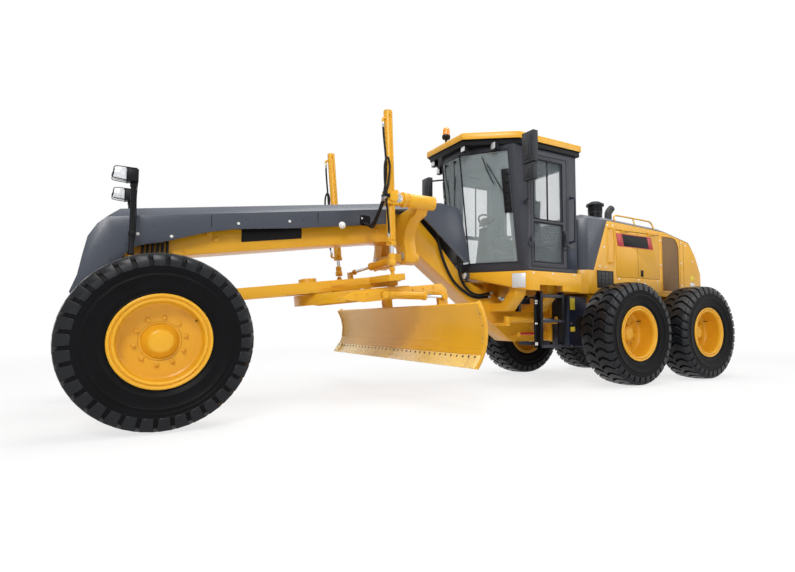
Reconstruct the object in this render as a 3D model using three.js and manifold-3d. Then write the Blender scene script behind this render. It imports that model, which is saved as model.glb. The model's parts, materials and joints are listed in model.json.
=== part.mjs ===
// A motor grader: a long front frame with a leaning, steered front axle, a drawbar with its
// turning circle and blade, a glazed cab, and an articulated rear end on four tandem wheels.
// Millimetres, +Z up. The front of the machine faces -X and its left side faces -Y.
// Every place below is measured from the front axle (X), the centre line (Y) and the ground (Z);
// the outermost group moves the whole machine so that its box is centred on the origin.
import * as THREE from 'three';
import { mergeVertices } from 'three/addons/utils/BufferGeometryUtils.js';
import Module from 'manifold-3d';

const wasm = await Module();
wasm.setup();

// ---------------------------------------------------------------- driving dimensions
const GAP = 0.3; // left between pieces that touch
const RUN = 0.6; // running clearance round a pin or rod
const CLEAR = 5; // between panels that move past each other

const TYRE_R = 672;
const TYRE_W = 445;
const FLANGE_R = 355;
const BEAD_R = 318;
const RIM_W = 396;
const HALF_TRACK = 1078;
const MID_AXLE_X = 5450;
const TANDEM_SPACING = 1538;
const REAR_AXLE_X = MID_AXLE_X + TANDEM_SPACING;
const TANDEM_X = MID_AXLE_X + TANDEM_SPACING / 2;

const KINGPIN_Y = 780;
const KINGPIN_R = 22;
const LEAN_Y = 690;
const LEAN_Z = 560;
const LEAN_PIN_R = 28;
const LEAN_BAR_Z = 860;
const STEER_ARM = 170;
const STEER_ARM_Z = 490;
const ARM_END_R = 25;
const CARRIER_HALF = 60; // half length of a lean carrier along X
const AXLE_HALF = 110;

const BEAM_HALF_W = 170;
const BEAM_H = 330;
const BEAM_Z0 = 1475; // underside of the beam at BEAM_X0, rising to the rear by BEAM_RISE
const BEAM_X0 = 420;
const BEAM_RISE = 0.1455;
const NECK_X0 = 2640; // where the neck starts down to the hinge, falling by NECK_FALL
const NECK_Z0 = 1755;
const NECK_FALL = 0.752;
const HINGE_X = 4750;
const HINGE_R = 110;
const HINGE_PIN_R = 45;
const EAR_T = 70;
const HINGE_LOW_Z = 560;
const HINGE_HIGH_Z = 890;
const FRAME_END_X = HINGE_X - 160;
const REAR_FRAME_X = HINGE_X + 160;

const BALL_X = 330;
const BALL_Z = 1050;
const DRAWBAR_TILT = 6.5; // degrees that the drawbar rises towards the rear
const CIRCLE_U = 1700; // circle centre, along the drawbar from its ball
const CIRCLE_R = 660;
const CIRCLE_TOP = -70;
const CIRCLE_H = 115;
const LIFT_BALL_U = 1847;
const LIFT_BALL_V = 752;
const LIFT_BALL_W = 112;
const LIFT_BALL_R = 32;
const LIFT_BALL_GAP = 4; // room for the small drift of a lift rod's end off its ball

const BLADE_HALF = 1757;
const BLADE_T = 22;
const PITCH_U = 2440;
const PITCH_W = -690;
const ARM_Y = CIRCLE_R + 5; // inner face of a circle arm
const ARM_T = 35;

const LIFT_X = 2105;
const LIFT_Y = 790;
const LIFT_Z = 2110;
const LIFT_BARREL_R = 45;
const LIFT_ROD_R = 21;

const CAB_PROW_X = 3530;
const CAB_PROW_HALF = 200;
const CAB_SIDE_X = 3940;
const CAB_HALF_W = 800;
const CAB_REAR_X = 4830;
const CAB_Z0 = 1441;
const CAB_Z1 = 3000;
const CAB_LEAN = 165; // forward lean of the glass prow over the cab height
const WALL = 50;
const DOOR_X0 = 4040;
const DOOR_X1 = 4650;
const DOOR_Z0 = 1500;
const DOOR_Z1 = 2920;
const SKIRT_HALF_W = CAB_HALF_W + 70;
const SKIRT_Z0 = 1204;
const SKIRT_T = 40;
const FLOOR_Z = 1400; // underside of the cab floor

const HOOD_X0 = 5140;
const HOOD_X1 = 7870;
const HOOD_HALF_W = 620;
const HOOD_WALL = 30;
const HOOD_Z0 = 1212;
const HOOD_DOOR_X0 = 5820;
const HOOD_DOOR_X1 = 6810;
const HOOD_DOOR_Z0 = 1470;
const HOOD_DOOR_Z1 = 2150;

const WHEEL_SIDES = 20;
const PIN_SIDES = 10;
const LEFT = -1;
const RIGHT = 1;

// ---------------------------------------------------------------- materials
const paint = (color, roughness = 0.45, metalness = 0.1) =>
  new THREE.MeshStandardMaterial({ color, roughness, metalness });
const YELLOW = paint(0xe0a21c);
const GREY = paint(0x4a5160);
const NAVY = paint(0x1c2533);
const BLACK = paint(0x17181b, 0.6, 0.0);
const RUBBER = paint(0x141516, 0.85, 0.0);
const STEEL = paint(0xb9bec4, 0.25, 0.9);
const DARK_STEEL = paint(0x4b4d50, 0.5, 0.7);
const UPHOLSTERY = paint(0x2b2c30, 0.9, 0.0);
const GLASS = new THREE.MeshStandardMaterial({
  color: 0x9fb6b8, roughness: 0.05, metalness: 0, transparent: true, opacity: 0.35,
});

// ---------------------------------------------------------------- solid helpers
const rad = THREE.MathUtils.degToRad;

// A closed three.js geometry as a solid, its faces turned outwards whichever way it was wound.
function solidOf(geometry) {
  geometry.deleteAttribute('normal');
  geometry.deleteAttribute('uv');
  const merged = mergeVertices(geometry, 1e-3);
  const points = merged.getAttribute('position').array;
  const faces = Uint32Array.from(merged.index.array);
  const at = (i) => new THREE.Vector3().fromArray(points, 3 * i);
  let volume = 0;
  for (let i = 0; i < faces.length; i += 3) {
    volume += at(faces[i]).dot(at(faces[i + 1]).cross(at(faces[i + 2])));
  }
  if (volume < 0) {
    for (let i = 0; i < faces.length; i += 3) {
      [faces[i], faces[i + 1]] = [faces[i + 1], faces[i]];
    }
  }
  const mesh = { numProp: 3, vertProperties: Float32Array.from(points), triVerts: faces };
  return new wasm.Manifold(new wasm.Mesh(mesh));
}

const join = (...solids) => solids.reduce((sum, solid) => sum.add(solid));
const cut = (solid, ...tools) => tools.reduce((rest, tool) => rest.subtract(tool), solid);

function outline(points) {
  return new THREE.Shape(points.map(([a, b]) => new THREE.Vector2(a, b)));
}

function extruded(points, depth) {
  return new THREE.ExtrudeGeometry(outline(points), { depth, bevelEnabled: false });
}

// Plan outline of (x, y) points between two heights.
function plan(points, z0, z1) {
  const low = Math.min(z0, z1);
  return solidOf(extruded(points, Math.abs(z1 - z0)).translate(0, 0, low));
}

// Side outline of (x, z) points between two y planes.
function side(points, y0, y1) {
  const geometry = extruded(points, Math.abs(y1 - y0));
  return solidOf(geometry.rotateX(Math.PI / 2).translate(0, Math.max(y0, y1), 0));
}

// Section of (y, up) points swept straight from one (x, z) place to another.
function sweep(points, [x0, z0], [x1, z1]) {
  const direction = new THREE.Vector3(x1 - x0, 0, z1 - z0);
  const geometry = extruded(points, direction.length());
  direction.normalize();
  const across = new THREE.Vector3(0, 1, 0);
  const up = new THREE.Vector3().crossVectors(direction, across);
  geometry.applyMatrix4(new THREE.Matrix4().makeBasis(across, up, direction));
  return solidOf(geometry.translate(x0, 0, z0));
}

// Front outline of (y, z) points between two x planes.
const front = (points, x0, x1) => sweep(points, [Math.min(x0, x1), 0], [Math.max(x0, x1), 0]);

function box(x0, x1, y0, y1, z0, z1) {
  const geometry = new THREE.BoxGeometry(Math.abs(x1 - x0), Math.abs(y1 - y0), Math.abs(z1 - z0));
  return solidOf(geometry.translate((x0 + x1) / 2, (y0 + y1) / 2, (z0 + z1) / 2));
}

// Round bar between two places, optionally tapered.
function bar(from, to, r0, sides = PIN_SIDES, r1 = r0) {
  const start = new THREE.Vector3(...from);
  const end = new THREE.Vector3(...to);
  const axis = end.clone().sub(start);
  const geometry = new THREE.CylinderGeometry(r1, r0, axis.length(), sides);
  const turn = new THREE.Quaternion().setFromUnitVectors(
    new THREE.Vector3(0, 1, 0), axis.normalize());
  geometry.applyQuaternion(turn);
  const middle = start.add(end).multiplyScalar(0.5);
  return solidOf(geometry.translate(middle.x, middle.y, middle.z));
}

const ball = ([x, y, z], r) => solidOf(new THREE.SphereGeometry(r, 12, 8).translate(x, y, z));

// Radius of a faceted hole that clears a faceted pin of radius r whichever way either turns.
const holeFor = (r, clearance = RUN) => (r + clearance) / Math.cos(Math.PI / PIN_SIDES);

// The same for a hole that a rod slides in without turning, its facets in line with the hole's.
const slideHole = (r) => r + RUN;

// Distance from the axis of a faceted bar of radius r to the middle of its flats.
const acrossFlats = (r) => r * Math.cos(Math.PI / PIN_SIDES);

// Profile of (radius, height) points turned about the Y axis, or about Z at (x, 0).
const lathe = (profile, sides) =>
  new THREE.LatheGeometry(profile.map(([r, h]) => new THREE.Vector2(r, h)), sides);
const turned = (profile, sides) => solidOf(lathe(profile, sides));
const turnedUp = (profile, sides, x) =>
  solidOf(lathe(profile, sides).rotateX(Math.PI / 2).translate(x, 0, 0));

// Skin through rings of (x, y, z) points, all in the same order, closed at both ends.
function loft(rings) {
  const count = rings[0].length;
  const faces = [];
  for (let ring = 0; ring + 1 < rings.length; ring += 1) {
    for (let i = 0; i < count; i += 1) {
      const a = ring * count + i;
      const b = ring * count + ((i + 1) % count);
      faces.push(a, b, a + count, b, b + count, a + count);
    }
  }
  const last = (rings.length - 1) * count;
  for (let i = 1; i + 1 < count; i += 1) {
    faces.push(0, i + 1, i, last, last + i, last + i + 1);
  }
  const geometry = new THREE.BufferGeometry();
  geometry.setAttribute('position', new THREE.Float32BufferAttribute(rings.flat(2), 3));
  geometry.setIndex(faces);
  return solidOf(geometry);
}

function piece(name, solid, material, parent) {
  const { vertProperties, triVerts } = solid.getMesh();
  const geometry = new THREE.BufferGeometry();
  geometry.setAttribute('position', new THREE.BufferAttribute(vertProperties, 3));
  geometry.setIndex(new THREE.BufferAttribute(triVerts, 1));
  geometry.computeVertexNormals();
  const mesh = new THREE.Mesh(geometry, material);
  mesh.name = name;
  parent.add(mesh);
  return mesh;
}

const sideName = (s) => (s === LEFT ? 'left' : 'right');

// ---------------------------------------------------------------- wheels
function tyreSolid() {
  const half = TYRE_W / 2;
  const seat = RIM_W / 2 - 21;
  const flank = [[BEAD_R + 0.6, seat], [FLANGE_R + 1.5, seat], [510, half], [620, half - 10],
    [TYRE_R, half - 60]];
  const profile = [...flank.map(([r, y]) => [r, -y]), ...flank.reverse()];
  return turned([...profile, profile[0]], WHEEL_SIDES);
}

// The wheel disc stands at discY from the middle of the rim, with its hub cap outboard of it.
function rimSolid(discY, cap) {
  const half = RIM_W / 2;
  const inside = BEAD_R - 16;
  return turned([
    [0, discY + cap], [110, discY + cap], [120, discY], [inside, discY + 20], [inside, half],
    [FLANGE_R, half], [FLANGE_R, half - 20], [BEAD_R, half - 20], [BEAD_R, 20 - half],
    [FLANGE_R, 20 - half], [FLANGE_R, -half], [inside, -half], [inside, discY - 10],
    [150, discY - HUB_DEPTH], [0, discY - HUB_DEPTH],
  ], WHEEL_SIDES);
}

const FRONT_DISC = 50;
const REAR_DISC = -60;
const HUB_DEPTH = 45;
const FRONT_CAP = 75;
const REAR_CAP = 95;

function wheel(name, x, s, disc, cap, parent) {
  const place = new THREE.Group();
  place.position.set(x, s * HALF_TRACK, TYRE_R);
  place.rotation.z = s === LEFT ? Math.PI : 0;
  piece(`${name}_rim`, rimSolid(disc, cap), YELLOW, place);
  piece(`${name}_tyre`, tyreSolid(), RUBBER, place);
  parent.add(place);
}

// ---------------------------------------------------------------- front axle and steering
function frontAxle() {
  const half = [[300, 610], [540, 505], [600, 505], [600, 615], [480, 650], [250, 760]];
  const beam = front([[0, 620], ...half, [0, 790], ...half.map(([y, z]) => [-y, z]).reverse()],
    -AXLE_HALF, AXLE_HALF);
  const pivot = bar([-189, 0, 720], [189, 0, 720], 45);
  let axle = join(beam, pivot);
  for (const s of [LEFT, RIGHT]) {
    for (const x of [-AXLE_HALF, CARRIER_HALF + GAP]) {
      const end = x + AXLE_HALF - CARRIER_HALF - GAP;
      const ear = join(
        box(x, end, s * 590, s * LEAN_Y, LEAN_Z - 50, LEAN_Z + 50),
        bar([x, s * LEAN_Y, LEAN_Z], [end, s * LEAN_Y, LEAN_Z], 50));
      axle = axle.add(ear);
    }
    axle = axle.add(bar([-AXLE_HALF, s * LEAN_Y, LEAN_Z], [AXLE_HALF, s * LEAN_Y, LEAN_Z],
      LEAN_PIN_R));
  }
  return axle;
}

const HOUSING_R = 42;
const FORK_Z0 = 475;
const FORK_Z1 = 802;
const FORK_T = 37;
const HOUSING_Z0 = FORK_Z0 + FORK_T + GAP;
const HOUSING_Z1 = FORK_Z1 - FORK_T - GAP;

function leanCarrier(s) {
  const plate = box(-CARRIER_HALF, CARRIER_HALF, s * 655, s * 725, LEAN_Z, 895);
  const foot = bar([-CARRIER_HALF, s * LEAN_Y, LEAN_Z], [CARRIER_HALF, s * LEAN_Y, LEAN_Z], 38);
  const web = box(-38, 38, s * 700, s * KINGPIN_Y, 600, 740);
  const housing = bar([0, s * KINGPIN_Y, HOUSING_Z0], [0, s * KINGPIN_Y, HOUSING_Z1], HOUSING_R);
  const kingpin = bar([0, s * KINGPIN_Y, FORK_Z0 - 10], [0, s * KINGPIN_Y, FORK_Z1 + 8], KINGPIN_R);
  const hole = bar([-90, s * LEAN_Y, LEAN_Z], [90, s * LEAN_Y, LEAN_Z], holeFor(LEAN_PIN_R));
  return cut(join(plate, foot, web, housing, kingpin), hole);
}

function knuckle(s) {
  const y = s * KINGPIN_Y;
  const fork = (z0, z1) => join(
    bar([0, y, z0], [0, y, z1], 47),
    box(-47, 47, y, s * 840, z0, z1));
  const armX = -STEER_ARM;
  const arm = join(
    box(armX, 0, s * (KINGPIN_Y - 25), s * (KINGPIN_Y + 25), STEER_ARM_Z - 15, STEER_ARM_Z + 15),
    bar([armX, y, STEER_ARM_Z - 15], [armX, y, STEER_ARM_Z + 15], ARM_END_R));
  const plate = box(-85, 85, s * 832, s * 858, FORK_Z0, FORK_Z1);
  const hubFace = HALF_TRACK + FRONT_DISC - HUB_DEPTH - GAP;
  const spindle = join(
    bar([0, s * 850, TYRE_R], [0, s * 930, TYRE_R], 130),
    bar([0, s * 850, TYRE_R], [0, s * hubFace, TYRE_R], 75));
  const bore = bar([0, y, FORK_Z0 - 20], [0, y, FORK_Z1 + 20], holeFor(KINGPIN_R));
  const body = join(fork(FORK_Z0, FORK_Z0 + FORK_T), fork(FORK_Z1 - FORK_T, FORK_Z1), arm, plate, spindle);
  return cut(body, bore);
}

function leanBar() {
  const x0 = CARRIER_HALF + GAP;
  const bars = [box(x0, x0 + 28, -LEAN_Y, LEAN_Y, LEAN_BAR_Z - 25, LEAN_BAR_Z + 25)];
  for (const s of [LEFT, RIGHT]) {
    bars.push(bar([x0, s * LEAN_Y, LEAN_BAR_Z], [x0 + 28, s * LEAN_Y, LEAN_BAR_Z], 35));
  }
  return join(...bars);
}

function tieRod() {
  const r = 18;
  const x = -(STEER_ARM + acrossFlats(ARM_END_R) + acrossFlats(r) + GAP);
  return bar([x, -KINGPIN_Y - 8, STEER_ARM_Z], [x, KINGPIN_Y + 8, STEER_ARM_Z], r);
}

// ---------------------------------------------------------------- front frame
const beamLow = (x) => BEAM_Z0 + (x - BEAM_X0) * BEAM_RISE;
const neckLow = (x) => NECK_Z0 - (x - NECK_X0) * NECK_FALL;

function hingeEar(x0, z0) {
  const ear = join(
    box(x0, HINGE_X, -HINGE_R, HINGE_R, z0, z0 + EAR_T),
    bar([HINGE_X, 0, z0], [HINGE_X, 0, z0 + EAR_T], HINGE_R));
  return ear;
}

const CLEVIS_X = 3950;
const CLEVIS_Y = 430;
const ART_Z = 850;
const ART_R = 36;

function lampPost(s) {
  const y = s * 420;
  const arm = box(-215, -175, s * 165, s * 442, 1390, 1425);
  const post = bar([-200, y, 1390], [-200, y, 2030], 22);
  const lamp = box(-245, -165, s * 365, s * 475, 2030, 2140);
  return join(arm, post, lamp);
}

function cabArm(s, x) {
  const top = FLOOR_Z - GAP;
  const foot = [[165, 955], [470, 955], [690, 1160], [690, top], [610, top], [560, 1200],
    [420, 1060], [165, 1060]];
  return front(foot.map(([y, z]) => [s * y, z]), x, x + 170);
}

function frontFrame() {
  const bendX = 4215;
  const lower = [[-250, beamLow(-250) + 70], [-190, beamLow(-190) + 10], [-180, beamLow(-180)],
    [2280, beamLow(2280)], [NECK_X0, NECK_Z0],
    [bendX, neckLow(bendX)], [4265, HINGE_LOW_Z], [FRAME_END_X, HINGE_LOW_Z]];
  const upper = [[FRAME_END_X, HINGE_HIGH_Z + EAR_T], [4300, HINGE_HIGH_Z + EAR_T], [3960, 1165],
    [3470, 1350], [3020, 1850], [2740, 2110], [2280, beamLow(2280) + BEAM_H],
    [-200, beamLow(-200) + BEAM_H], [-250, beamLow(-250) + BEAM_H - 60]];
  const beam = side([...lower, ...upper], -BEAM_HALF_W, BEAM_HALF_W);
  const bolster = box(-190, 190, -150, 150, 895, 1500);
  const ears = [AXLE_HALF + GAP, -190].map((x) => box(x, x + 80 - GAP, -100, 100, 640, 900));
  const pivotHole = bar([-200, 0, 720], [200, 0, 720], holeFor(45));
  const ballEars = [BALL_Z - 90, BALL_Z + 50].map((z) => join(
    box(180, BALL_X, -40, 40, z, z + 40),
    bar([BALL_X, 0, z], [BALL_X, 0, z + 40], 40)));
  const hingeHole = bar([HINGE_X, 0, 500], [HINGE_X, 0, 1100], holeFor(HINGE_PIN_R));
  const parts = [beam, bolster, ...ears, ...ballEars];
  for (const z of [HINGE_LOW_Z, HINGE_HIGH_Z]) {
    parts.push(hingeEar(FRAME_END_X - 10, z));
  }
  for (const s of [LEFT, RIGHT]) {
    parts.push(lampPost(s), cabArm(s, 3870), cabArm(s, 4405));
    const lug = join(
      box(CLEVIS_X - 80, CLEVIS_X + 40, s * 165, s * CLEVIS_Y, ART_Z - 80, ART_Z - 45),
      bar([CLEVIS_X, s * CLEVIS_Y, ART_Z - 80], [CLEVIS_X, s * CLEVIS_Y, ART_Z - 45], 50));
    parts.push(lug);
  }
  return cut(join(...parts), pivotHole, hingeHole);
}

// Rising line of the cover's crest, and the chamfer that runs along both its edges.
const COVER_HALF = 300;
const COVER_T = 24;
const CREST_X0 = -290;
const CREST_X1 = 2830;
const CREST_Z0 = 1830;
const CREST_Z1 = 2262;
const SADDLE_X0 = 2480;
const SADDLE_X1 = 2620;
const crest = (x) => CREST_Z0 + ((x - CREST_X0) * (CREST_Z1 - CREST_Z0)) / (CREST_X1 - CREST_X0);

function frontCover() {
  const nose = [[-600, 1010], [-632, 1070], [-582, 1215], [-552, 1390], [-520, 1550], [-455, 1665]];
  const top = [[CREST_X0, CREST_Z0], [CREST_X1, CREST_Z1], [3100, 2290], [3325, 2210]];
  const rear = [[3470, 1570], [3390, 1555], [2870, 2000], [SADDLE_X1 + 110, 2110],
    [SADDLE_X0 - 110, 2110], [SADDLE_X0 - 150, 1940], [1290, 1790], [660, 1720], [430, 1670]];
  const under = [[40, 1540], [-80, 1515], [-200, 1470], [-430, 1155]];
  const shell = side([...nose, ...top, ...rear, ...under], -COVER_HALF, COVER_HALF);
  const t = COVER_T;
  const inside = [[-600, 940], [-604, 1085], [-556, 1225], [-526, 1392], [-495, 1545],
    [-437, 1650], [CREST_X0 + 8, CREST_Z0 - t], [CREST_X1, CREST_Z1 - t], [3092, 2266],
    [3305, 2190], [3445, 1500], [2870, 1850], [2300, 1700], [430, 1400], [-300, 1200], [-440, 940]];
  const hollow = side(inside, t - COVER_HALF, COVER_HALF - t);
  const chamfers = [LEFT, RIGHT].map((s) => sweep(
    [[s * (COVER_HALF + 10), -95], [s * (COVER_HALF + 10), 60], [s * 195, 60], [s * 195, 2],
      [s * (COVER_HALF + 1), -85]],
    [-700, crest(-700)], [3500, crest(3500)]));
  const solid = cut(shell, ...chamfers);
  const innerRidge = cut(hollow, ...[LEFT, RIGHT].map((s) => sweep(
    [[s * COVER_HALF, -120 - t], [s * COVER_HALF, 60], [s * 180, 60], [s * 180, -t],
      [s * (COVER_HALF - t), -85 - t]],
    [-700, crest(-700)], [3500, crest(3500)])));
  const ribs = [600, 2000].map((x) => box(
    x, x + 40, 12 - COVER_HALF, COVER_HALF - 12, beamLow(x + 40) + BEAM_H + GAP, crest(x) - 12));
  const noseRib = box(-510, -250 - GAP, -120, 120, 1500, 1560);
  const bodyShell = cut(solid, innerRidge);
  const trimmed = ribs.map((rib) => rib.intersect(solid));
  return join(bodyShell, ...trimmed, noseRib);
}

function saddle() {
  const arm = [
    [160, 1830], [200, 1650], [270, 1490], [350, 1470], [430, 1500], [440, 1600], [400, 1740],
    [420, 1860], [520, 1960], [660, 2000], [700, 2060], [700, 2160], [640, 2185], [480, 2090],
    [345, 2075], [260, 2060], [160, 2010],
  ];
  const link = [[-350, 1500], [350, 1500], [350, 1620], [-350, 1620]];
  const parts = [front(link, SADDLE_X0, SADDLE_X1)];
  for (const s of [LEFT, RIGHT]) {
    const points = arm.map(([y, z]) => [s * y, z]);
    parts.push(front(points, SADDLE_X0, SADDLE_X1));
    parts.push(bar([SADDLE_X0 - 170, s * LIFT_Y, LIFT_Z], [SADDLE_X1 + 10, s * LIFT_Y, LIFT_Z], 78));
    parts.push(box(SADDLE_X0, SADDLE_X1, s * 640, s * LIFT_Y, LIFT_Z - 62, LIFT_Z + 62));
    parts.push(bar([SADDLE_X0 + 5, s * 350, 1560], [SADDLE_X1 + 45, s * 350, 1560], 72));
  }
  const lugY = SHIFT_FROM.y - SHIFT_BARREL_R - RUN;
  const shiftLug = box(SADDLE_X0 - 100, SADDLE_X0 + 5, lugY - 20, lugY, 1500, 1590);
  const frameRoom = box(2000, 3000, -BEAM_HALF_W - GAP, BEAM_HALF_W + GAP, 1625, 2200);
  return cut(join(...parts, shiftLug), frameRoom);
}

// ---------------------------------------------------------------- lift and shift cylinders
// A lift cylinder hangs from its trunnion yoke towards the ball on the drawbar.
const tilt = rad(DRAWBAR_TILT);
function fromDrawbar(u, v, w) {
  return new THREE.Vector3(
    BALL_X + u * Math.cos(tilt) - w * Math.sin(tilt), v,
    BALL_Z + u * Math.sin(tilt) + w * Math.cos(tilt));
}

function along(from, to, distance) {
  const direction = to.clone().sub(from).normalize();
  return from.clone().addScaledVector(direction, distance).toArray();
}

function liftCylinder(s, parent) {
  const top = new THREE.Vector3(LIFT_X, s * LIFT_Y, LIFT_Z);
  const end = fromDrawbar(LIFT_BALL_U, s * LIFT_BALL_V, LIFT_BALL_W);
  const reach = top.distanceTo(end);
  const at = (distance) => along(top, end, distance);
  const tube = bar(at(-890), at(490), LIFT_BARREL_R);
  const bore = bar(at(-800), at(600), slideHole(LIFT_ROD_R));
  const gland = bar(at(470), at(500), LIFT_BARREL_R + 8);
  const head = bar(at(-905), at(-880), LIFT_BARREL_R + 6);
  const hubFace = SADDLE_X0 - 170 - GAP;
  const block = box(LIFT_X - 62, LIFT_X + 62, s * (LIFT_Y - 68), s * (LIFT_Y + 68),
    LIFT_Z - 75, LIFT_Z + 75);
  const neck = bar([LIFT_X, s * LIFT_Y, LIFT_Z], [hubFace, s * LIFT_Y, LIFT_Z], 66);
  const trunnion = bar([LIFT_X, s * (LIFT_Y - 92), LIFT_Z], [LIFT_X, s * (LIFT_Y + 92), LIFT_Z], 52);
  const barrel = cut(join(tube, gland, head, block, neck, trunnion), bore);
  piece(`lift_barrel_${sideName(s)}`, barrel, YELLOW, parent);
  const rod = bar(at(-310), at(reach - 150), LIFT_ROD_R);
  const sleeve = bar(at(reach - 160), at(reach - LIFT_BALL_R - LIFT_BALL_GAP), 36);
  piece(`lift_rod_${sideName(s)}`, join(rod, sleeve), STEEL, parent);
}

// The shift cylinder runs from the saddle's link, low on the left, to a post on the drawbar's right.
const SHIFT_FROM = new THREE.Vector3(2425, -290, 1545);
const SHIFT_BARREL_R = 42;
const SHIFT_END_R = 34;
const SHIFT_GAP = 12; // between the rod's end and its post, for the end's drift as the drawbar lifts
const SHIFT_POST_U = 1880;
const SHIFT_V = 420;
const SHIFT_W = 170;
const SHIFT_TO = fromDrawbar(SHIFT_POST_U + SHIFT_END_R + SHIFT_GAP, SHIFT_V, SHIFT_W);

function shiftCylinder(parent) {
  const reach = SHIFT_FROM.distanceTo(SHIFT_TO);
  const at = (distance) => along(SHIFT_FROM, SHIFT_TO, distance);
  const tube = bar(at(20), at(440), SHIFT_BARREL_R);
  const end = ball(at(0), SHIFT_BARREL_R);
  const bore = bar(at(60), at(600), slideHole(20));
  piece('shift_barrel', cut(join(tube, end), bore), YELLOW, parent);
  const rod = bar(at(330), at(reach), 20);
  piece('shift_rod', join(rod, ball(at(reach), SHIFT_END_R)), STEEL, parent);
}

// ---------------------------------------------------------------- drawbar, circle and blade
// These solids stand in the drawbar's own frame (u, v, w): its ball is the origin, u runs to the
// rear along the drawbar and w is square to it.
const BALL_R = 49.5;

function drawbarBall() {
  return join(ball([0, 0, 0], BALL_R), bar([0, -53.7, 0], [0, 53.7, 0], 22));
}

function drawbar() {
  const bottom = -60;
  const topW = 55;
  const parts = [];
  for (const s of [LEFT, RIGHT]) {
    parts.push(plan([[-40, s * 54], [-40, s * 90], [60, s * 100], [1990, s * 575],
      [1990, s * 440], [260, s * 66], [60, s * 54]], bottom, topW));
    parts.push(bar([LIFT_BALL_U, s * LIFT_BALL_V, 40], [LIFT_BALL_U, s * LIFT_BALL_V, LIFT_BALL_W], 20));
    parts.push(ball([LIFT_BALL_U, s * LIFT_BALL_V, LIFT_BALL_W], LIFT_BALL_R));
  }
  parts.push(plan([[240, -80], [520, -170], [520, 170], [240, 80]], -20, 40));
  parts.push(plan([[980, -320], [1260, -400], [1260, 400], [980, 320]], -20, 50));
  parts.push(plan([[1690, -520], [1770, -810], [1960, -810], [2000, -560], [2000, 560],
    [1960, 810], [1770, 810], [1690, 520]], -12, topW));
  parts.push(box(SHIFT_POST_U - 35, SHIFT_POST_U, SHIFT_V - 50, SHIFT_V + 50, 40, SHIFT_W));
  parts.push(bar([1180, 0, 50], [1180, 0, 105], 95));
  parts.push(bar([1235, 0, -140], [1235, 0, 60], 55));
  for (let i = 0; i < 4; i += 1) {
    const angle = rad(45 + 90 * i);
    const [du, dv] = [Math.cos(angle), Math.sin(angle)];
    const spot = (r, w) => [CIRCLE_U + r * du, r * dv, w];
    parts.push(bar(spot(CIRCLE_R - 190, bottom - 105), spot(CIRCLE_R - 190, 0), 50, 8));
    parts.push(bar(spot(CIRCLE_R - 160, bottom - 105),
      spot(CIRCLE_R - 160, CIRCLE_TOP - 60.5), 60, 8));
  }
  for (const s of [LEFT, RIGHT]) {
    const ahead = CIRCLE_U - CIRCLE_R + 260;
    const behind = CIRCLE_U + CIRCLE_R - 250;
    const reach = s * (CIRCLE_R - 240);
    parts.push(plan([[ahead, s * 250], [ahead, reach], [1460, reach + s * 25], [1460, s * 260]],
      -12, 30));
    parts.push(plan([[1960, s * 250], [1960, reach], [behind, reach], [behind, s * 250]], -12, 30));
  }
  return join(...parts);
}

const ARM_OUT = ARM_Y + ARM_T;
const TIP_V = ARM_OUT + 45; // the tip cylinder runs outside the left circle arm
const TIP_LUG_V = TIP_V - 28;
const TIP_FROM = [1744, -148];
const TIP_TO = [2460, -230];
const CRANK_Y0 = ARM_OUT + GAP;
const CRANK_Y1 = ARM_OUT + 25;
const PITCH_PIN_R = 34;

function circle() {
  const web = CIRCLE_R - 62;
  const low = CIRCLE_TOP - CIRCLE_H;
  const ring = turnedUp([[web, low], [CIRCLE_R, low], [CIRCLE_R, CIRCLE_TOP], [web, CIRCLE_TOP],
    [web, CIRCLE_TOP - 30], [CIRCLE_R - 120, CIRCLE_TOP - 30], [CIRCLE_R - 120, CIRCLE_TOP - 60],
    [web, CIRCLE_TOP - 60], [web, low]], 30, CIRCLE_U);
  const arm = [[1270, -150], [1400, -85], [2470, -85], [2530, -150], [2530, -330], [2500, -690],
    [2380, -690], [2405, -400], [2405, -205], [1520, -205]];
  const parts = [ring];
  for (const s of [LEFT, RIGHT]) {
    parts.push(side(arm, s * ARM_Y, s * ARM_OUT));
    parts.push(bar([PITCH_U, s * ARM_Y, PITCH_W], [PITCH_U, s * ARM_OUT, PITCH_W], 62));
    const joint = ARM_Y + 5;
    const [y0, y1] = [s * (ARM_Y - 105), s * (ARM_Y - 80)];
    parts.push(plan([[1370, y0], [1370, s * joint], [2030, s * joint], [2030, y0], [1980, y1],
      [1420, y1]], low, CIRCLE_TOP - 65));
  }
  const [u, w] = TIP_FROM;
  parts.push(bar([u, -ARM_Y - 5, w], [u, -TIP_LUG_V, w], 40));
  const pinHoles = [LEFT, RIGHT].map((s) => bar(
    [PITCH_U, s * (ARM_Y - 10), PITCH_W], [PITCH_U, s * (ARM_OUT + 10), PITCH_W],
    holeFor(PITCH_PIN_R)));
  return cut(join(...parts), ...pinHoles);
}

// The blade's section is an arc; its face is hollow towards the front.
const ARC = { u: 1746, w: -538, r: 479, low: -48.9, high: 28.1 };
const RAIL_BACK = 2290;
const RAIL_HIGH = [-465, -405];
const RAIL_LOW = [-775, -715];

function arcPoints(radius, from, to, steps) {
  const points = [];
  for (let i = 0; i <= steps; i += 1) {
    const angle = rad(from + ((to - from) * i) / steps);
    points.push([ARC.u + radius * Math.cos(angle), ARC.w + radius * Math.sin(angle)]);
  }
  return points;
}

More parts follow.
